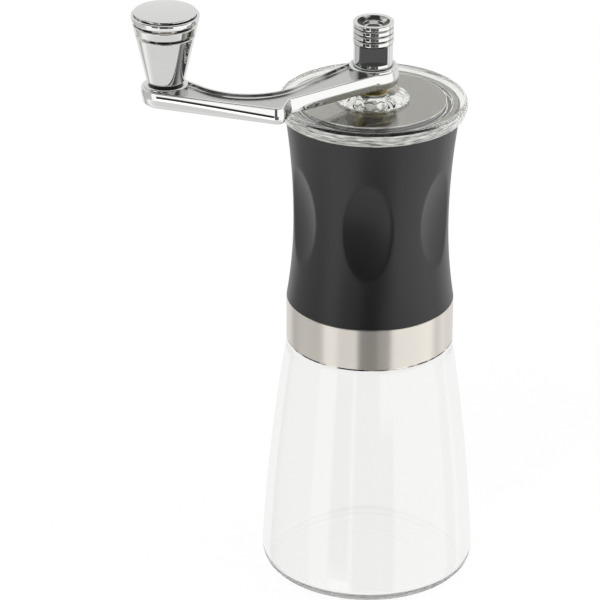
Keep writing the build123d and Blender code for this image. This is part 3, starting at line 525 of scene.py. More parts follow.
def make_jar(s):
    """Glass jar: one turned skin from the middle of the underside, over the lip, to the middle of the floor.

    Both walls are circular bows, and the corners between the runs are rounded. The underside is
    pushed up a trace inside the ring that the jar stands on, and it is stippled.
    """
    wall_rows, thread_rows, heel_rows, floor_rows, columns = 48, 44, 16, 12, 224
    inner_drop, floor_inset = 6.0, 0.3
    underside = [(0.0, 0.4), (18.0, 0.35), (32.0, 0.0)]
    neck_foot, lip_foot = s.jar_shoulder_height + 2.0, s.jar_lip_height - 1.8
    thread_foot, thread_top = s.jar_shoulder_height + 2.2, s.jar_lip_height - 2.0
    helix_foot, helix_turns = s.jar_shoulder_height + 4.6, 1.5
    bead_width, bead_fade = 0.75, 0.08
    widest = (s.jar_base_radius, s.jar_widest_height)
    shoulder = (s.jar_shoulder_radius, s.jar_shoulder_height)
    heel = s.jar_inner_round
    inner_radius = s.jar_base_radius - s.jar_wall
    inner_start = (inner_radius, s.jar_floor + heel)
    inner_end = (s.jar_shoulder_radius - s.jar_wall, s.jar_shoulder_height - inner_drop)
    base = rounded(
        [*underside, (s.jar_base_radius, 0.0), widest],
        [0.0, 10.0, 3.0, s.jar_base_round, 0.0],
        steps=12,
        closed=False,
    )
    wall = bow(widest, shoulder, s.jar_bulge, wall_rows)
    neck = rounded(
        [wall[-2], shoulder, (s.jar_neck_radius, s.jar_shoulder_height), (s.jar_neck_radius, neck_foot)],
        [0.0, 0.9, 0.8, 0.0],
        closed=False,
    )
    threaded = steps_between((s.jar_neck_radius, thread_foot), (s.jar_neck_radius, thread_top), thread_rows)
    inside = bow(inner_end, inner_start, s.jar_bulge, wall_rows)
    lip = rounded(
        [
            (s.jar_neck_radius, lip_foot),
            (s.jar_neck_radius, s.jar_lip_height),
            (s.jar_mouth_radius, s.jar_lip_height),
            (s.jar_mouth_radius, s.jar_shoulder_height),
            inner_end,
            inside[1],
        ],
        [0.0, 1.0, 1.0, 4.0, 4.0, 0.0],
        closed=False,
    )
    t = np.linspace(0.0, np.pi / 2.0, heel_rows)[1:]
    corner = np.column_stack([inner_radius - heel + heel * np.cos(t), s.jar_floor + heel - heel * np.sin(t)])
    floor_edge = (inner_radius - heel - floor_inset, s.jar_floor)
    floor = steps_between(floor_edge, (0.0, s.jar_floor), floor_rows)
    profile = np.vstack([base, wall[1:-2], neck, threaded, lip, inside[2:], corner, floor])
    stippled_rows = np.argmax(base[:, 0] > s.jar_base_radius - s.jar_base_round)

    def thread(radius, height, a):
        """Glass bead on the neck: a bump exp(-(d / w)^2) about a helix of one and a half turns."""
        climb = (height - helix_foot) / s.jar_thread_pitch
        turns = a / (2.0 * np.pi)
        lap = np.round(climb - turns)
        along = lap + turns
        off = (climb - turns - lap) * s.jar_thread_pitch
        ends = np.clip(along / bead_fade, 0.0, 1.0) * np.clip((helix_turns - along) / bead_fade, 0.0, 1.0)
        on_neck = (np.abs(radius - s.jar_neck_radius) < SAME) & (height > (neck_foot + thread_foot) / 2.0)
        bead = s.jar_thread_depth * np.exp(-((off / bead_width) ** 2)) * ends
        return radius + np.where(on_neck, bead, 0.0)

    skin = net(turned(profile, columns, thread), paint=np.arange(len(profile) - 1) < stippled_rows)
    made = piece("jar_glass", [skin], ["glass", "stippled"], "jar", "jar_glass", "jar")
    made.visible_shadow = False


def make_band(s):
    """Steel band: a thin strip with rolled edges, turned round the axis; its lower edge is painted dark, a
    painted shade line where it meets the jar.
    """
    inner_round, outer_round, line, columns = 0.15, 0.28, 0.55, 240
    inner, outer = s.band_radius - s.band_thickness, s.band_radius
    profile = rounded(
        [(inner, s.band_foot), (outer, s.band_foot), (outer, s.band_top), (inner, s.band_top)],
        [inner_round, outer_round, outer_round, inner_round],
        steps=5,
        hold=0.4,
    )
    # Rows up to line above the foot take the dark finish: painted shade at the band's lower edge.
    dark = row_middles(profile)[:, 1] < s.band_foot + line
    skin = hoop(profile, columns, paint=dark)
    piece("foot_band", [skin], ["band", "groove"], "head", "band_steel", "steel_band")


# Bore of the grip from the hopper's mouth down to its foot: radius, height and rounding of each corner.
GRIP_BORE = np.array([
    (30.1, 184.1, 0.3),
    (27.4, 177.8, 0.3),
    (27.4, 167.8, 0.15),
    (25.4, 167.8, 0.3),
    (25.4, 138.8, 0.3),
    (27.0, 138.8, 0.15),
    (27.0, 114.9, 0.15),
    (29.4, 114.9, 0.15),
    (29.4, 97.2, 0.2),
])


def make_grip(s, k):
    """Grip: two tangent arcs meet at the waist, and ball-shaped dents cut in all round.

    Below and above the waist r = waist + R - sqrt(R^2 - dz^2), with R chosen so that the arc ends
    at the foot or the top. A dent of ball radius B about a point D away leaves the radius
    D cos a - sqrt(B^2 - dz^2 - D^2 sin^2 a), and the smaller of both is taken with a soft edge.
    The hopper's mouth is lined with steel, and the cavity over the jar's neck is white.
    """
    foot, top = s.band_top, s.grip_top_height
    side_rows, columns, steps = 154, 360, 4
    lining_foot, cavity_top = 168.0, 138.9
    lining_edge = s.grip_top_radius - 0.7
    side_foot, side_top = foot + 0.5, top - 0.9
    dent_foot, on_skin, far_out, band_fit = foot + 0.4, 0.02, 9.0, 0.05

    def waisted(height):
        dz = height - s.grip_waist_height
        rise = np.where(dz < 0.0, s.band_radius, s.grip_top_radius) - s.grip_waist_radius
        span = np.where(dz < 0.0, s.grip_waist_height - foot, top - s.grip_waist_height)
        bend = (span * span + rise * rise) / (2.0 * rise)
        return s.grip_waist_radius + bend - np.sqrt(bend * bend - dz * dz)

    heights = np.linspace(side_foot, side_top, side_rows)
    side = np.column_stack([waisted(heights), heights])
    skirt = s.band_radius - s.band_thickness - band_fit
    bore = GRIP_BORE[:, :2]
    below = rounded(
        [bore[-1], (skirt, bore[-1, 1]), (skirt, foot), (s.band_radius, foot), side[0]],
        [0.2, 0.2, 0.1, 0.25, 0.0],
        closed=False,
    )
    above = rounded(
        np.vstack([side[-1], (waisted(np.array(top)), top), (bore[0, 0], top), bore]),
        np.concatenate([[0.0, 0.5, 0.4], GRIP_BORE[:, 2]]),
        steps=steps,
    )
    # The rows of the first corner above, one for each step and three more, double the side's end.
    corner_rows = steps + 3
    profile = np.vstack([below, side[1:-1], above[corner_rows:]])
    reach = s.grip_waist_radius - s.dent_depth + s.dent_radius
    pitch = 2.0 * np.pi / k.dents

    def dented(radius, height, a):
        off = (a - k.dent_turn + pitch / 2.0) % pitch - pitch / 2.0
        under = s.dent_radius ** 2 - (height - s.dent_height) ** 2 - (reach * np.sin(off)) ** 2
        clear = radius + far_out
        ball = np.where(under > 0.0, reach * np.cos(off) - np.sqrt(np.maximum(under, 0.0)), clear)
        soft = s.dent_edge
        low = np.minimum(radius, ball)
        blend = low - soft * np.log1p(np.exp(-np.abs(radius - ball) / soft))
        outside = (np.abs(radius - waisted(height)) < on_skin) & (height > dent_foot)
        return np.where(outside, np.maximum(blend, low - soft), radius)

    middle = row_middles(profile)
    inner = np.arange(len(profile)) > len(below) + len(side)
    lined = inner & (middle[:, 0] < lining_edge) & (middle[:, 1] > lining_foot)
    cavity = inner & (middle[:, 1] < cavity_top)
    skin = hoop(profile, columns, dented, lined + 2 * cavity)
    piece("grip_shell", [skin], ["grip", "burnished", "acetal"], "head", "grip_plastic", "grip_body")


def make_lid(s, k):
    """Lid: one closed turned outline, with flutes r - depth * cos^2(n a / 2) sin(pi t) on the dome.

    The rim's outer face and two moulded corners are scuffed. A steel disc lies under the plate, and
    a bush with a brass flange and a steel shank sits in the dome.
    """
    plate, skirt_wall, dome_bulge, dome_top_radius = 2.4, 2.0, 0.9, 7.4
    seat_radius, seat_height, hole_radius, fit = 6.05, 197.5, 5.45, 0.05
    foot_step, rim_rise, rim_lean, dome_step = 1.0, 2.8, 0.6, 0.6
    haze, scuff_inset, clear_top, shank_end = 0.45, 0.3, 1.2, 0.1
    dome_rows, columns, disc_columns, bush_columns = 20, 288, 192, 96
    under = s.lid_top_height - plate
    skirt_inner = s.lid_skirt_radius - skirt_wall
    dome_foot, dome_end = (s.dome_radius, s.lid_top_height), (dome_top_radius, s.dome_top_height)
    dome = bow(dome_foot, dome_end, dome_bulge, dome_rows)
    edge = rounded(
        [
            (s.lid_skirt_radius + foot_step, s.lid_foot_height),
            (s.lid_foot_radius, s.lid_foot_height),
            (s.lid_radius, s.lid_foot_height + rim_rise),
            (s.lid_radius - rim_lean, s.lid_top_height),
            (s.dome_radius + dome_step, s.lid_top_height),
        ],
        [0.0, 0.45, 4.0, 1.3, 0.0],
        steps=10,
        closed=False,
    )
    inside = rounded(
        [
            dome[-1],
            (seat_radius, s.dome_top_height),
            (seat_radius, seat_height),
            (hole_radius, seat_height),
            (hole_radius, under),
            (skirt_inner, under),
            (skirt_inner, s.lid_skirt_foot),
            (s.lid_skirt_radius, s.lid_skirt_foot),
            (s.lid_skirt_radius, s.lid_foot_height),
            edge[0],
        ],
        [0.0, 0.1, 0.0, 0.0, 0.2, 0.4, 0.5, 0.5, 0.3, 0.0],
        steps=4,
        closed=False,
    )
    profile = np.vstack([edge[1:], dome[:-1], inside])
    middle = row_middles(profile)
    scuffed = middle[:, 0] > s.lid_foot_radius - scuff_inset
    scuffed &= middle[:, 1] < s.lid_top_height - clear_top
    for corner in ((skirt_inner, under), (s.lid_skirt_radius, s.lid_foot_height)):
        scuffed |= np.abs(middle - corner).max(axis=1) < haze

    def fluted(radius, height, a):
        share = np.clip((height - s.lid_top_height) / (s.dome_top_height - s.lid_top_height), 0.0, 1.0)
        on_dome = (height > s.lid_top_height + SAME) & (radius > dome_top_radius - SAME)
        wave = np.cos(0.5 * k.flutes * a) ** 2 * np.sin(np.pi * share)
        return radius - np.where(on_dome, s.flute_depth * wave, 0.0)

    skin = hoop(profile, columns, fluted, scuffed)
    made = piece("clear_lid", [skin], ["clear", "scuffed"], "lid", "lid_clear", "lid")
    made.visible_shadow = False

    disc_inner, disc_outer = 8.4, skirt_inner - 0.3
    disc_low, disc_high = under - 0.5, under - 0.1
    disc = rounded(
        [(disc_inner, disc_low), (disc_outer, disc_low), (disc_outer, disc_high), (disc_inner, disc_high)],
        0.1,
        steps=3,
    )
    piece("lid_disc", [hoop(disc, disc_columns)], ["burnished"], "lid", "plain_steel")

    shank_radius, flange_radius, flange_top = hole_radius - fit, seat_radius - fit, 199.1
    bush = rounded(
        [
            (SHAFT_BORE, under),
            (shank_radius, under),
            (shank_radius, seat_height),
            (flange_radius, seat_height),
            (flange_radius, flange_top),
            (SHAFT_BORE, flange_top),
        ],
        [0.1, 0.2, 0.05, 0.1, 0.35, 0.2],
        steps=4,
    )
    shank = row_middles(bush)[:, 1] < seat_height - shank_end
    skin = hoop(bush, bush_columns, paint=shank)
    piece("brass_bush", [skin], ["brass", "turned"], "lid", "lid_brass", "lid_bush")


def screw_thread(radius, pitch, depth):
    """Rolled thread: the radius falls by depth * (0.5 - 0.5 cos) of the phase height / pitch - turns."""

    def cut(r, height, a):
        phase = height / pitch - a / (2.0 * np.pi)
        fall = depth * (0.5 - 0.5 * np.cos(2.0 * np.pi * phase))
        return np.where(np.abs(r - radius) < SAME, r - fall, r)

    return cut


def make_shaft(s):
    """Drive shaft in four turned runs, tail, journal, square and stub, and the bright sleeve on it.

    The tail's thread has two flats, where the radius is at most flat / |sin a|. The square's radius
    is r / max(|cos a|, |sin a|), up to its turned corners.
    """
    pitch, depth = 1.0, 0.35
    tail_radius, tail_flat, journal_radius, stub_radius = 3.0, 2.5, 4.0, 2.7
    square_half, square_corner = 2.8, 3.9
    tail_foot, tail_top, journal_foot = 88.05, 98.75, 98.8
    square_foot, square_top, stub_top = s.arm_foot_height, 208.3, 218.9
    tail_steps, stub_steps, columns, stub_columns, sleeve_columns = 110, 100, 96, 72, 128
    tail_rows = np.vstack([
        [(0.0, tail_foot)],
        steps_between((2.4, tail_foot), (2.98, 88.6), 3),
        steps_between((tail_radius, 88.7), (tail_radius, 98.7), tail_steps),
        [(2.9, tail_top), (0.0, tail_top)],
    ])
    tail_thread = screw_thread(tail_radius, pitch, depth)

    def flatted(r, height, a):
        flat = tail_flat / np.maximum(np.abs(np.sin(a)), TINY)
        return np.minimum(tail_thread(r, height, a), flat)

    def squared(r, height, a):
        across = np.maximum(np.abs(np.cos(a)), np.abs(np.sin(a)))
        return np.minimum(r / across, square_corner)

    journal_rows = rounded(
        [
            (0.0, journal_foot),
            (journal_radius, journal_foot),
            (journal_radius, square_foot),
            (0.0, square_foot),
        ],
        [0.0, 0.2, 0.3, 0.0],
        closed=False,
    )
    square_rows = rounded(
        [(0.0, square_foot), (square_half, square_foot), (square_half, square_top), (0.0, square_top)],
        [0.0, 0.0, 0.3, 0.0],
        closed=False,
    )
    stub_rows = np.vstack([
        [(0.0, square_top)],
        steps_between((stub_radius, square_top), (stub_radius, 218.4), stub_steps),
        [(2.3, stub_top), (0.0, stub_top)],
    ])
    runs = [
        net(turned(tail_rows, columns, flatted)),
        net(turned(journal_rows, columns)),
        net(turned(square_rows, columns, squared)),
        net(turned(stub_rows, stub_columns, screw_thread(stub_radius, pitch, depth))),
    ]
    piece("drive_spindle", runs, ["turned"], "shaft", "plain_steel", "drive_shaft")

    foot, groove_low, groove_high, top = 179.0, 185.5, 186.0, 192.0
    radius, groove_radius = 7.6, 7.1
    sleeve = rounded(
        [
            (SHAFT_BORE, foot),
            (radius, foot),
            (radius, groove_low),
            (groove_radius, groove_low),
            (groove_radius, groove_high),
            (radius, groove_high),
            (radius, top),
            (SHAFT_BORE, top),
        ],
        [0.1, 0.4, 0.1, 0.1, 0.1, 0.1, 0.8, 0.1],
        steps=5,
    )
    skin = hoop(sleeve, sleeve_columns)
    piece("bright_sleeve", [skin], ["chrome"], "shaft", "chrome_plate", "shaft_sleeve")


def make_spring():
    """Spring: a circle of wire carried along a helix, with closed ends.

    The helix is (R cos a, R sin a, low + rise a); the wire's circle lies across its heading.
    """
    radius, wire, low, high, turns = 5.7, 0.6, 105.0, 113.0, 4.0
    stations, sides = 200, 16
    a = np.linspace(0.0, 2.0 * np.pi * turns, stations)
    rise = (high - low) / a[-1]
    path = np.column_stack([radius * np.cos(a), radius * np.sin(a), low + rise * a])
    out = np.column_stack([np.cos(a), np.sin(a), np.zeros_like(a)])
    heading = np.column_stack([-radius * np.sin(a), radius * np.cos(a), np.full_like(a, rise)])
    heading /= np.linalg.norm(heading, axis=1)[:, None]
    up = np.cross(heading, out)
    b = np.arange(sides) * (2.0 * np.pi / sides)
    circle = out[:, None, :] * np.cos(b)[None, :, None] + up[:, None, :] * np.sin(b)[None, :, None]
    ends = np.repeat(path[[0, -1], None, :], sides, axis=1)
    tube = np.concatenate([ends[:1], path[:, None, :] + wire * circle, ends[1:]])
    piece("wound_spring", [net(tube)], ["spring"], "shaft", "spring_steel", "burr_spring")


def touch_point(point, centre, radius, side):
    """Where the line from a point touches a circle, on the left of the way for side 1."""
    way = np.asarray(centre, dtype=float) - point
    away = np.linalg.norm(way)
    bearing = math.atan2(way[1], way[0]) + side * math.asin(radius / away)
    reach = math.sqrt(away * away - radius * radius)
    return np.asarray(point) + reach * np.array([math.cos(bearing), math.sin(bearing)])


def arm_outline(s, count):
    """Outline of the crank arm, anticlockwise in even steps.

    Straight legs touch the hub's circle and the knob end's circle and meet in a stepped elbow.
    """
    hub_radius, end_radius, inset = 9.6, 9.0, 1.2
    notch_round, nose_round, back_round = 1.3, 3.4, 23.5
    end_rows, least_step = 90, 1e-6
    knob = np.array([-s.crank_throw, 0.0])
    inner = knob + (41.5, -23.8)
    nose = knob + (36.2, -33.3)
    back = knob + (26.4, -25.6)
    hub_back = touch_point(back, (0.0, 0.0), hub_radius, 1)
    knob_front = touch_point(nose, knob, end_radius, 1)
    knob_back = touch_point(back, knob, end_radius, -1)
    front_touch = touch_point(inner, (0.0, 0.0), hub_radius - inset, -1)
    way = (inner - front_touch) / np.linalg.norm(inner - front_touch)
    hub_front = front_touch + way * math.sqrt(hub_radius ** 2 - (hub_radius - inset) ** 2)
    front_corners = [hub_front, inner, nose, knob_front]
    front = rounded(front_corners, [0.0, notch_round, nose_round, 0.0], steps=24, hold=0.0, closed=False)
    rear = rounded([knob_back, back, hub_back], [0.0, back_round, 0.0], steps=48, hold=0.0, closed=False)

    def sweep(centre, radius, start, end):
        first = math.atan2(*(start - centre)[::-1])
        last = math.atan2(*(end - centre)[::-1])
        t = np.linspace(first, first - (first - last) % (2.0 * np.pi), end_rows)
        return centre + radius * np.column_stack([np.cos(t), np.sin(t)])

    knob_end = sweep(knob, end_radius, knob_front, knob_back)
    hub_end = sweep(np.zeros(2), hub_radius, hub_back, hub_front)
    loop = np.vstack([front, knob_end, rear, hub_end])
    loop = loop[np.linalg.norm(loop - np.roll(loop, 1, axis=0), axis=1) > least_step]
    closed_loop = np.vstack([loop, loop[:1]])
    walked = np.concatenate([[0.0], np.cumsum(np.linalg.norm(np.diff(closed_loop, axis=0), axis=1))])
    even = np.linspace(0.0, walked[-1], count + 1)[:-1]
    even_loop = np.column_stack([np.interp(even, walked, closed_loop[:, i]) for i in (0, 1)])
    return even_loop[::-1]


def make_arm(s):
    """Crank arm: the outline is carried through the edge's profile, then closed by flat faces.

    An edge row at inset d and height z is the outline moved inwards by d along its own normal. The
    sides lean in below and above a crest that runs down along the arm. Over the crest's half width w
    the lean changes evenly: d = w (m n + c n^2 / 2), with n the height off the crest divided by w,
    m half the difference and c half the sum of both leans. Beyond it the sides are straight.
    """
    lip, heel, flat = 0.25, 0.45, 0.25
    crest, outermost = 1.1, 0.25
    lower_lean, upper_lean = math.tan(math.radians(11.0)), math.tan(math.radians(9.0))
    crest_share, crest_fall, fall_length = 0.755, 0.355, 49.0
    hole_half = 2.85
    collar_bore, collar_radius, seat_radius, boss_radius = 4.2, 9.0, 7.9, 8.2
    leg_rows, crest_rows, round_rows = 5, 13, 9
    columns, collar_columns, boss_columns = 720, 144, 128
    outline = arm_outline(s, columns)
    along = np.roll(outline, -1, axis=0) - np.roll(outline, 1, axis=0)
    along /= np.linalg.norm(along, axis=1)[:, None]
    inward = np.column_stack([-along[:, 1], along[:, 0]])
    low = s.arm_foot_height
    high = low + s.arm_thickness
    floor = high - s.arm_recess_depth
    foot, top, rim = s.arm_foot_round, s.arm_top_round, s.arm_rim_width

    from_knob = np.linalg.norm(outline + (s.crank_throw, 0.0), axis=1)
    fallen = crest_fall * np.clip(from_knob / fall_length, 0.0, 1.0)
    split = s.arm_thickness * (crest_share - fallen)[None, :]
    t = np.linspace(0.0, 1.0, leg_rows)[:, None]
    below = foot + (split - crest - foot) * t
    across = split + crest * np.linspace(-1.0, 1.0, crest_rows)[1:, None]
    above = split + crest + (s.arm_thickness - top - split - crest) * t[1:]
    side = np.vstack([below, across, above])
    off = (side - split) / crest
    near = np.clip(off, -1.0, 1.0)
    mean, change = 0.5 * (upper_lean - lower_lean), 0.5 * (upper_lean + lower_lean)
    inset = crest * (mean * near + 0.5 * change * near ** 2) - outermost
    inset += crest * (upper_lean * np.maximum(off - 1.0, 0.0) + lower_lean * np.maximum(-1.0 - off, 0.0))

    t = np.linspace(0.0, np.pi / 2.0, round_rows)[:, None]
    level = np.zeros_like(split)
    foot_rows = (inset[:1] + foot * (1.0 - np.sin(t)), low + foot * (1.0 - np.cos(t)) + level)
    top_rows = (inset[-1:] + top * (1.0 - np.cos(t)), high - top + top * np.sin(t) + level)
    lip_rows = (rim - lip + lip * np.sin(t) + level, high - lip + lip * np.cos(t) + level)
    heel_rows = (rim + heel * (1.0 - np.cos(t)) + level, floor + heel * (1.0 - np.sin(t)) + level)
    first = (foot_rows[0][:1] + flat, low + level)
    last = (rim + heel + flat + level, floor + level)
    runs = (first, foot_rows, (inset[1:-1], low + side[1:-1]), top_rows, lip_rows, heel_rows, last)
    insets = np.vstack([run[0] for run in runs])[..., None]
    heights = np.vstack([run[1] for run in runs])[..., None]
    rings = outline[None, :, :] + inward[None, :, :] * insets
    wall = net(np.concatenate([rings, heights], axis=-1))

    hole = hole_half * np.array([(1.0, 1.0), (-1.0, 1.0), (-1.0, -1.0), (1.0, -1.0)])
    under = slab(rings[0], hole, low)
    over = slab(rings[-1], hole, floor, 1)
    shaft_hole = net(np.stack([np.column_stack([hole, np.full(4, z)]) for z in (low, floor)]))
    raised, sunk = high + 1.0, floor - 0.1
    collar = rounded(
        [
            (collar_bore, sunk),
            (collar_radius, sunk),
            (collar_radius, raised),
            (seat_radius, raised),
            (seat_radius, high),
            (collar_bore, high),
        ],
        [0.0, 0.0, 0.5, 0.35, 0.1, 0.0],
    )
    boss = rounded(
        [(0.0, sunk), (boss_radius, sunk), (boss_radius, raised), (0.0, raised)],
        [0.0, 0.0, 0.6, 0.0],
        closed=False,
    )
    boss_points = turned(boss, boss_columns) + np.array([-s.crank_throw, 0.0, 0.0])
    surfaces = [wall, under, over, shaft_hole, hoop(collar, collar_columns), net(boss_points)]
    piece("cast_arm", surfaces, ["chrome", "satin"], "crank", "chrome_plate", "crank_arm", sharp=40.0)


def make_nut(s, k):
    """Top nut: turned rows, cut by two flats where the radius is at most flat / |cos(a - turn)|.

    Grooves part the rings and a funnel is sunk in the crown, and both are painted dark: painted shade in the
    hollows.
    """
    foot, top = 208.4, 226.5
    flats_low, flats_high, step = 210.9, 218.0, 0.02
    bore, bore_top = 2.75, 219.0
    rings, groove_depth, groove_low, groove_high = 4, 0.6, 0.05, 0.35
    outer_only, columns = 4.0, 288
    groove_inside, groove_skin, groove_end = 6.0, 0.3, top - 0.5
    funnel_foot, funnel_radius, funnel_half = top - 1.3, 5.0, 1.1
    crown_corners = [(6.5, top), (3.8, top - 1.4), (3.6, top - 2.6), (0.0, top - 2.6)]
    groove_radius = s.nut_ring_radius - groove_depth
    pitch = (top - flats_high) / rings
    base = rounded(
        [
            (0.0, bore_top),
            (bore, bore_top),
            (bore, foot),
            (s.nut_radius, foot),
            (s.nut_radius, flats_low),
            (s.nut_radius - step, flats_low + step),
            (s.nut_radius - step, flats_high - step),
            (s.nut_radius, flats_high),
        ],
        [0.0, 0.0, 0.1, 0.3, 0.0, 0.0, 0.0, 0.0],
        steps=4,
        hold=0.1,
        closed=False,
    )
    corners = []
    for low in flats_high + pitch * np.arange(rings):
        corners += [
            (groove_radius, low + groove_low),
            (groove_radius, low + groove_high),
            (s.nut_ring_radius, low + groove_high),
            (s.nut_ring_radius, low + pitch),
        ]
    radii = [0.0, 0.1, 0.35, 0.35] * rings + [0.9, 0.3, 0.3, 0.0]
    crown = rounded(corners + crown_corners, radii, steps=6, closed=False)
    profile = np.vstack([base, crown])

    def flatted(r, height, a):
        limit = s.nut_flat / np.maximum(np.abs(np.cos(a - k.nut_turn)), TINY)
        zone = (height > flats_low + SAME) & (height < flats_high - SAME) & (r > outer_only)
        return np.where(zone, np.minimum(r, limit), r)

    radius, height = row_middles(profile)[:-1].T
    # Rows in the grooves and the funnel take the dark finish: painted shade.
    grooves = (height > flats_high) & (height < groove_end)
    grooves &= (radius > groove_inside) & (radius < s.nut_ring_radius - groove_skin)
    funnel = (height > funnel_foot) & (np.abs(radius - funnel_radius) < funnel_half)
    nut = net(turned(profile, columns, flatted), paint=grooves | funnel)
    piece("crank_nut", [nut], ["chrome", "groove"], "crank", "chrome_plate", "top_nut")


def make_knob(s):
    """Knob and cap: turned profiles moved to the axle, with rows in the grooves and under the cap painted
    dark as painted shade.

    The knob is a cone with two rounded channels, and the cap's top is a ball of radius
    (r^2 + rise^2) / (2 rise).
    """
    low, high = s.knob_foot_height, s.knob_top_height
    rim_low = high - 1.0
    groove_heights = (low + 19.1, low + 23.5)
    groove_steps, groove_depths = (-0.75, -0.3, 0.3, 0.6), (0.0, 0.65, 0.75, -0.1)
    axle_radius, head_radius, head_seat = 3.05, 5.3, 229.5
    socket_radius, socket_depth = 8.1, 2.1
    plug_radius, plug_depth = 8.0, 2.0
    cap_radius, cap_edge, cap_rise, dome_inset = 11.7, 1.0, 0.9, 0.5
    dark_depth, dark_reach, cap_shade_depth, cap_shade_top = 0.3, 3.2, 0.2, high + 0.45
    dome_rows, columns, cap_columns = 24, 192, 160
    shift = np.array([-s.crank_throw, 0.0, 0.0])

    def taper(height):
        widening = s.knob_rim_radius - s.knob_foot_radius
        return s.knob_foot_radius + widening * (height - low) / (rim_low - low)

    corners = [(axle_radius, low), (s.knob_foot_radius, low)]
    for groove in groove_heights:
        corners += [(taper(groove + z) - depth, groove + z) for z, depth in zip(groove_steps, groove_depths)]
    corners += [
        (s.knob_rim_radius, rim_low),
        (s.knob_rim_radius, high),
        (socket_radius, high),
        (socket_radius, high - socket_depth),
        (head_radius, high - socket_depth),
        (head_radius, head_seat),
        (axle_radius, head_seat),
    ]
    radii = [0.2, 1.0] + [0.3, 0.25, 0.25, 0.3] * 2 + [0.8, 0.5, 0.2, 0.1, 0.1, 0.1, 0.1]
    outline = rounded(corners, radii, steps=5, hold=0.3)
    radius, height = row_middles(outline).T
    # Rows sunk in the grooves take the dark finish: painted shade.
    sunk = taper(height) - radius > dark_depth
    sunk &= np.abs(height - np.mean(groove_heights)) < dark_reach
    knob = net(turned(outline, columns) + shift, close_rows=True, paint=sunk)
    piece("taper_knob", [knob], ["chrome", "groove"], "knob", "chrome_plate", "knob")

    bend = (cap_radius ** 2 + cap_rise ** 2) / (2.0 * cap_rise)
    r = np.linspace(0.0, cap_radius - dome_inset, dome_rows)
    dome = np.column_stack([r, high + cap_edge + cap_rise - bend + np.sqrt(bend * bend - r * r)])
    rest = rounded(
        [
            dome[-1],
            (cap_radius, high + cap_edge),
            (cap_radius, high),
            (plug_radius, high),
            (plug_radius, high - plug_depth),
            (0.0, high - plug_depth),
        ],
        [0.0, 0.35, 0.1, 0.1, 0.3, 0.0],
        closed=False,
    )
    outline = np.vstack([dome[:-1], rest])
    radius, height = row_middles(outline)[:-1].T
    # The lowest rows of the cap's rim take the dark finish: painted shade under the cap.
    cap_shade = (radius > cap_radius - cap_shade_depth) & (height < cap_shade_top)
    cap = net(turned(outline, cap_columns) + shift, paint=cap_shade)
    piece("knob_crown", [cap], ["chrome", "groove"], "knob", "chrome_plate", "knob_cap")


# Inner nodes that stay as packed, and the finish of each.
MECHANISM = {
    "jar_seal": "silicone",
    "hopper_funnel": "hopper",
    "bearing_bridge": "hopper",
    "burr_housing": "acetal",
    "adjust_nut": "hopper",
    "upper_bush": "acetal",
    "lower_bush": "acetal",
    "knob_washer": "hopper",
    "thrust_washer": "turned",
    "spring_washer": "turned",
    "drive_plate": "turned",
    "housing_screws": "turned",
    "knob_axle": "turned",
    "outer_burr": "ceramic",
    "inner_burr": "ceramic",
}


class MILL_OT_finishes(bpy.types.Operator):
    """Make the finishes that all pieces share"""

    bl_idname = "mill.finishes"
    bl_label = "Finishes"

    def execute(self, context):
        FINISHES.update(make_finishes(context.scene.mill_colours))
        return {"FINISHED"}


class MILL_OT_jar(bpy.types.Operator):
    """Make the glass jar with its threaded neck"""

    bl_idname = "mill.jar"
    bl_label = "Jar"

    def execute(self, context):
        make_jar(millimetres(context.scene.mill_sizes))
        return {"FINISHED"}


class MILL_OT_grip(bpy.types.Operator):
    """Make the dented grip and its steel band"""

    bl_idname = "mill.grip"
    bl_label = "Grip and band"

    def execute(self, context):
        sizes = millimetres(context.scene.mill_sizes)
        make_grip(sizes, context.scene.mill_patterns)
        make_band(sizes)
        return {"FINISHED"}


class MILL_OT_lid(bpy.types.Operator):
    """Make the clear lid, the disc under its plate and its brass bush"""

    bl_idname = "mill.lid"
    bl_label = "Lid"

    def execute(self, context):
        make_lid(millimetres(context.scene.mill_sizes), context.scene.mill_patterns)
        return {"FINISHED"}


class MILL_OT_shaft(bpy.types.Operator):
    """Make the shaft, its sleeve and the burr's spring"""

    bl_idname = "mill.shaft"
    bl_label = "Shaft and spring"

    def execute(self, context):
        make_shaft(millimetres(context.scene.mill_sizes))
        make_spring()
        return {"FINISHED"}


class MILL_OT_crank(bpy.types.Operator):
    """Make the cast crank arm and its nut"""

    bl_idname = "mill.crank"
    bl_label = "Crank"

    def execute(self, context):
        sizes = millimetres(context.scene.mill_sizes)
        make_arm(sizes)
        make_nut(sizes, context.scene.mill_patterns)
        return {"FINISHED"}


class MILL_OT_knob(bpy.types.Operator):
    """Make the tapered knob and its cap"""

    bl_idname = "mill.knob"
    bl_label = "Knob"

    def execute(self, context):
        make_knob(millimetres(context.scene.mill_sizes))
        return {"FINISHED"}


class MILL_OT_mechanism(bpy.types.Operator):
    """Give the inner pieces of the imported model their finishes"""

    bl_idname = "mill.mechanism"
    bl_label = "Mechanism"

    def execute(self, context):
        for node, finish_name in MECHANISM.items():
            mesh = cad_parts[node].data
            mesh.materials.clear()
            mesh.materials.append(FINISHES[finish_name])
        return {"FINISHED"}


# Camera: place in metres, angles in degrees, lens and sensor in millimetres.
CAMERA_PLACE = (-0.3690, -1.33572, 0.77371)
CAMERA_PITCH = 25.55425
CAMERA_HEADING = -14.33413
CAMERA_ROLL = 0.29256
CAMERA_LENS = 240.0
CAMERA_REACH = 20.0
SENSOR = 36.0
CAMERA_SIDE = math.degrees(math.atan2(CAMERA_PLACE[1], CAMERA_PLACE[0]))

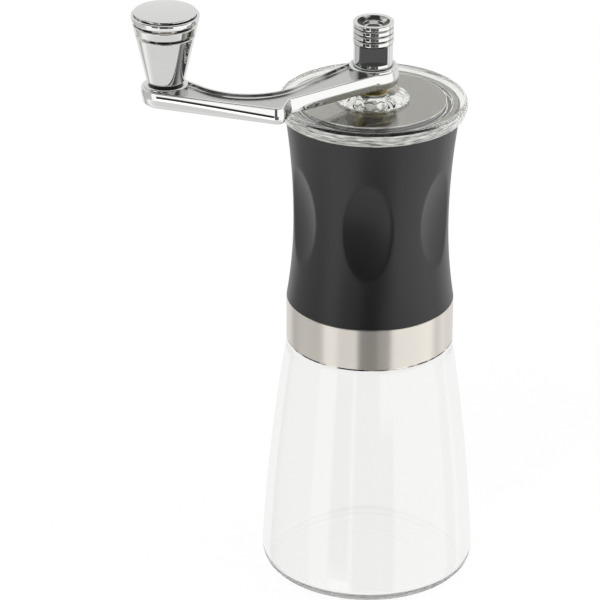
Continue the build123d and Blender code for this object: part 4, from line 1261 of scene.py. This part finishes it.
# Gaps between the low white panels of the studio: the bearings of both sides, how much darker the gap
# is, and the sines of its lowest and highest angle. Bearings run anticlockwise from the side where the
# camera stands. A gap of negative depth is a brighter panel.
STUDIO_GAPS = (
    (-16.0, 14.0, 0.92, -0.58, 1.0),
    (14.0, 30.0, 0.92, -0.58, -0.22),
    (-132.0, -66.0, 0.5, -0.58, 1.0),
    (98.0, 116.0, 0.4, -0.58, 1.0),
    (-42.0, -20.0, 0.97, -0.4, -0.148),
    (-42.0, -20.0, -0.55, -0.58, -0.42),
)
# Softness of a gap's sides in degrees, and of its lower and upper edge as a sine.
GAP_SIDE_SOFTNESS = 2.5
GAP_SOFTNESS = 0.03
# Where the zones of the studio blend: the paper's edge, the horizon and the crown go by the sine of the
# height, the far panels and the room in front by how much a direction points to the camera's side.
PAPER_EDGE = (-0.68, -0.56)
HORIZON = (-0.06, 0.06)
CROWN_EDGE = (0.8, 0.95)
FAR_EDGE = (-0.6, -0.35)
ROOM_EDGE = (-0.15, 0.35)
# Light of the panels, the paper below them, the back, the crown overhead and the room in front.
PANEL_LEVEL = 1.3
PAPER_LEVEL = 0.85
BACK_LEVEL = 0.9
CROWN_LEVEL = 1.15
ROOM_LEVEL = 0.08
# Share of the panels' light on the far side.
FAR_SHARE = 0.7
# White that glass shows, even light on dull surfaces, and white of the floor to the eye.
GLASS_LEVEL = 0.91
EVEN_LEVEL = 0.6
FLOOR_LEVEL = 1.03
# Share of the floor's plain white, which the shadow doesn't reach.
SHADOWED_SHARE = 0.85
FLOOR_HALF = 3000.0
FLOOR_HEIGHT = -0.05
# Light is mirrored many times inside the thick glass, so paths are followed this far.
LIGHT_BOUNCES = 24

# Settings of nodes. A number Mix takes its factor at 0 and its values at 2 and 3.
SMOOTH = {"interpolation_type": "SMOOTHSTEP"}
TIMES = {"operation": "MULTIPLY"}
LARGEST = {"operation": "MAXIMUM"}
NUMBER = {"data_type": "FLOAT"}


def make_world(context):
    """White studio: plain white for sight and glass, even light on surfaces, panels with gaps for gloss.

    Low down stand white panels over pale paper, each gap a product of four soft steps. Above the
    horizon the back is white and the room in front dim, with a bright crown overhead.
    """
    world = bpy.data.worlds.new("white_studio")
    world.use_nodes = True
    context.scene.world = world
    tree = world.node_tree
    tree.nodes.clear()
    way = add(tree, "ShaderNodeTexCoord").outputs["Generated"]
    to_camera = {"Vector": way, "Angle": -math.radians(CAMERA_SIDE)}
    faced = add(tree, "ShaderNodeVectorRotate", to_camera, rotation_type="Z_AXIS")
    parts = add(tree, "ShaderNodeSeparateXYZ", (faced,))
    ahead, aside, height = parts.outputs
    bearing = add(tree, "ShaderNodeMath", (aside, ahead), operation="ARCTAN2")
    light = add(tree, "ShaderNodeMapRange", (height, *PAPER_EDGE, PAPER_LEVEL, PANEL_LEVEL), **SMOOTH)
    far = add(tree, "ShaderNodeMapRange", (ahead, *FAR_EDGE, FAR_SHARE, 1.0), **SMOOTH)
    light = add(tree, "ShaderNodeMath", (light, far), **TIMES)
    soft = math.radians(GAP_SIDE_SOFTNESS)
    for start, end, depth, lowest, highest in STUDIO_GAPS:
        edges = (
            (height, lowest, GAP_SOFTNESS),
            (height, highest, -GAP_SOFTNESS),
            (bearing, math.radians(start), soft),
            (bearing, math.radians(end), -soft),
        )
        change = -depth
        for value, place, blend in edges:
            edge = add(tree, "ShaderNodeMapRange", (value, place - blend, place + blend), **SMOOTH)
            change = add(tree, "ShaderNodeMath", (change, edge), **TIMES)
        gap = add(tree, "ShaderNodeMath", (change, 1.0), operation="ADD")
        light = add(tree, "ShaderNodeMath", (light, gap), **TIMES)
    front = add(tree, "ShaderNodeMapRange", (ahead, *ROOM_EDGE, BACK_LEVEL, ROOM_LEVEL), **SMOOTH)
    crown = add(tree, "ShaderNodeMapRange", (height, *CROWN_EDGE), **SMOOTH)
    upper = add(tree, "ShaderNodeMix", {0: crown, 2: front, 3: CROWN_LEVEL}, **NUMBER)
    rise = add(tree, "ShaderNodeMapRange", (height, *HORIZON), **SMOOTH)
    panels = add(tree, "ShaderNodeMix", {0: rise, 2: light, 3: upper}, **NUMBER)
    ray = add(tree, "ShaderNodeLightPath").outputs
    paths = (ray["Is Camera Ray"], ray["Transmission Depth"])
    seen = add(tree, "ShaderNodeMath", paths, use_clamp=True, **LARGEST)
    even = add(tree, "ShaderNodeMix", {0: ray["Is Glossy Ray"], 2: EVEN_LEVEL, 3: panels}, **NUMBER)
    sight = add(tree, "ShaderNodeMix", {0: ray["Is Camera Ray"], 2: GLASS_LEVEL, 3: 1.0}, **NUMBER)
    level = add(tree, "ShaderNodeMix", {0: seen, 2: even, 3: sight}, **NUMBER)
    back = add(tree, "ShaderNodeBackground", {"Color": linear("#FFFFFF"), "Strength": level})
    add(tree, "ShaderNodeOutputWorld", {"Surface": back})


def make_floor(context):
    """Pale floor: a flat grid that is white to the eye and keeps a faint shadow."""
    span = np.linspace(-FLOOR_HALF, FLOOR_HALF, 3)
    x, y = np.meshgrid(span, span)
    points, faces, _ = net(np.stack([x, y, np.full_like(x, FLOOR_HEIGHT)], axis=-1), close_columns=False)
    mesh = bpy.data.meshes.new("studio_floor")
    mesh.from_pydata((points * MM).tolist(), [], faces.tolist())
    made = bpy.data.materials.new("pale_floor")
    made.use_nodes = True
    tree = made.node_tree
    tree.nodes.clear()
    ray = add(tree, "ShaderNodeLightPath").outputs
    sight = add(tree, "ShaderNodeMath", (ray["Is Camera Ray"], SHADOWED_SHARE), **TIMES)
    share = add(tree, "ShaderNodeMath", (sight, ray["Is Transmission Ray"]), **LARGEST)
    paint = add(tree, "ShaderNodeBsdfDiffuse", {"Color": linear("#EFEFEC")})
    bright = add(tree, "ShaderNodeMix", {0: ray["Is Camera Ray"], 2: GLASS_LEVEL, 3: FLOOR_LEVEL}, **NUMBER)
    white = add(tree, "ShaderNodeEmission", {"Color": linear("#FFFFFF"), "Strength": bright})
    mix = add(tree, "ShaderNodeMixShader", (share, paint, white))
    add(tree, "ShaderNodeOutputMaterial", {"Surface": mix})
    mesh.materials.append(made)
    floor = bpy.data.objects.new("studio_floor", mesh)
    context.scene.collection.objects.link(floor)
    floor.visible_glossy = False


# Lamps: name, place in metres, width in metres and power in watts.
LAMPS = (
    ("key_panel", (-0.9, -0.9, 1.3), 0.9, 9.0),
    ("fill_panel", (1.1, -0.5, 0.9), 0.9, 5.0),
    ("back_panel", (0.2, 1.2, 1.2), 0.9, 6.0),
)
MILL_MIDDLE = (0.0, 0.0, 0.12)


def make_lamps(context):
    """Three soft square panels aimed at the middle of the mill."""
    for name, place, size, power in LAMPS:
        light = bpy.data.lights.new(name, "AREA")
        light.shape = "SQUARE"
        light.size = size
        light.energy = power
        lamp = bpy.data.objects.new(name, light)
        lamp.location = place
        way = np.array(MILL_MIDDLE) - np.array(place)
        heading = math.atan2(way[1], way[0]) - math.pi / 2.0
        tilt = math.atan2(way[2], math.hypot(way[0], way[1]))
        lamp.rotation_euler = (math.pi / 2.0 + tilt, 0.0, heading)
        lamp.visible_glossy = False
        lamp.visible_transmission = False
        context.scene.collection.objects.link(lamp)


def make_camera(context):
    """Camera at the photograph's angle: a long lens, its frame turned a trace about its axis."""
    data = bpy.data.cameras.new("photo_camera")
    data.lens = CAMERA_LENS
    data.sensor_width = SENSOR
    data.clip_end = CAMERA_REACH
    camera = bpy.data.objects.new("photo_camera", data)
    tilt = math.pi / 2.0 - math.radians(CAMERA_PITCH)
    aim = Euler((tilt, 0.0, math.radians(CAMERA_HEADING))).to_matrix()
    roll = Matrix.Rotation(math.radians(CAMERA_ROLL), 3, "Z")
    camera.rotation_euler = (aim @ roll).to_euler()
    camera.location = CAMERA_PLACE
    context.scene.collection.objects.link(camera)
    context.scene.camera = camera


class MILL_OT_stage(bpy.types.Operator):
    """Set up the floor, the studio light and the camera"""

    bl_idname = "mill.stage"
    bl_label = "Stage"

    def execute(self, context):
        make_world(context)
        make_floor(context)
        make_lamps(context)
        make_camera(context)
        context.scene.view_settings.view_transform = "Standard"
        context.scene.cycles.max_bounces = LIGHT_BOUNCES
        context.scene.cycles.glossy_bounces = LIGHT_BOUNCES
        context.scene.cycles.transmission_bounces = LIGHT_BOUNCES
        return {"FINISHED"}


STEPS = (
    MILL_OT_finishes,
    MILL_OT_jar,
    MILL_OT_grip,
    MILL_OT_lid,
    MILL_OT_shaft,
    MILL_OT_crank,
    MILL_OT_knob,
    MILL_OT_mechanism,
    MILL_OT_stage,
)


class MILL_PT_panel(bpy.types.Panel):
    """Lists the steps and the sizes of the mill"""

    bl_idname = "MILL_PT_panel"
    bl_label = "Coffee mill"
    bl_space_type = "VIEW_3D"
    bl_region_type = "UI"
    bl_category = "Mill"

    def draw(self, context):
        for step in STEPS:
            self.layout.operator(step.bl_idname)
        for group in (context.scene.mill_sizes, context.scene.mill_patterns, context.scene.mill_colours):
            for name in group.__annotations__:
                self.layout.prop(group, name)


GROUPS = {"mill_sizes": MillSizes, "mill_patterns": MillPatterns, "mill_colours": MillColours}


def register():
    for group in (*GROUPS.values(), *STEPS, MILL_PT_panel):
        bpy.utils.register_class(group)
    for name, group in GROUPS.items():
        setattr(bpy.types.Scene, name, bpy.props.PointerProperty(type=group))


def unregister():
    for name in GROUPS:
        delattr(bpy.types.Scene, name)
    for group in reversed((*GROUPS.values(), *STEPS, MILL_PT_panel)):
        bpy.utils.unregister_class(group)


def main():
    register()
    for step in STEPS:
        space, verb = step.bl_idname.split(".")
        getattr(getattr(bpy.ops, space), verb)()


if __name__ == "__main__":
    main()
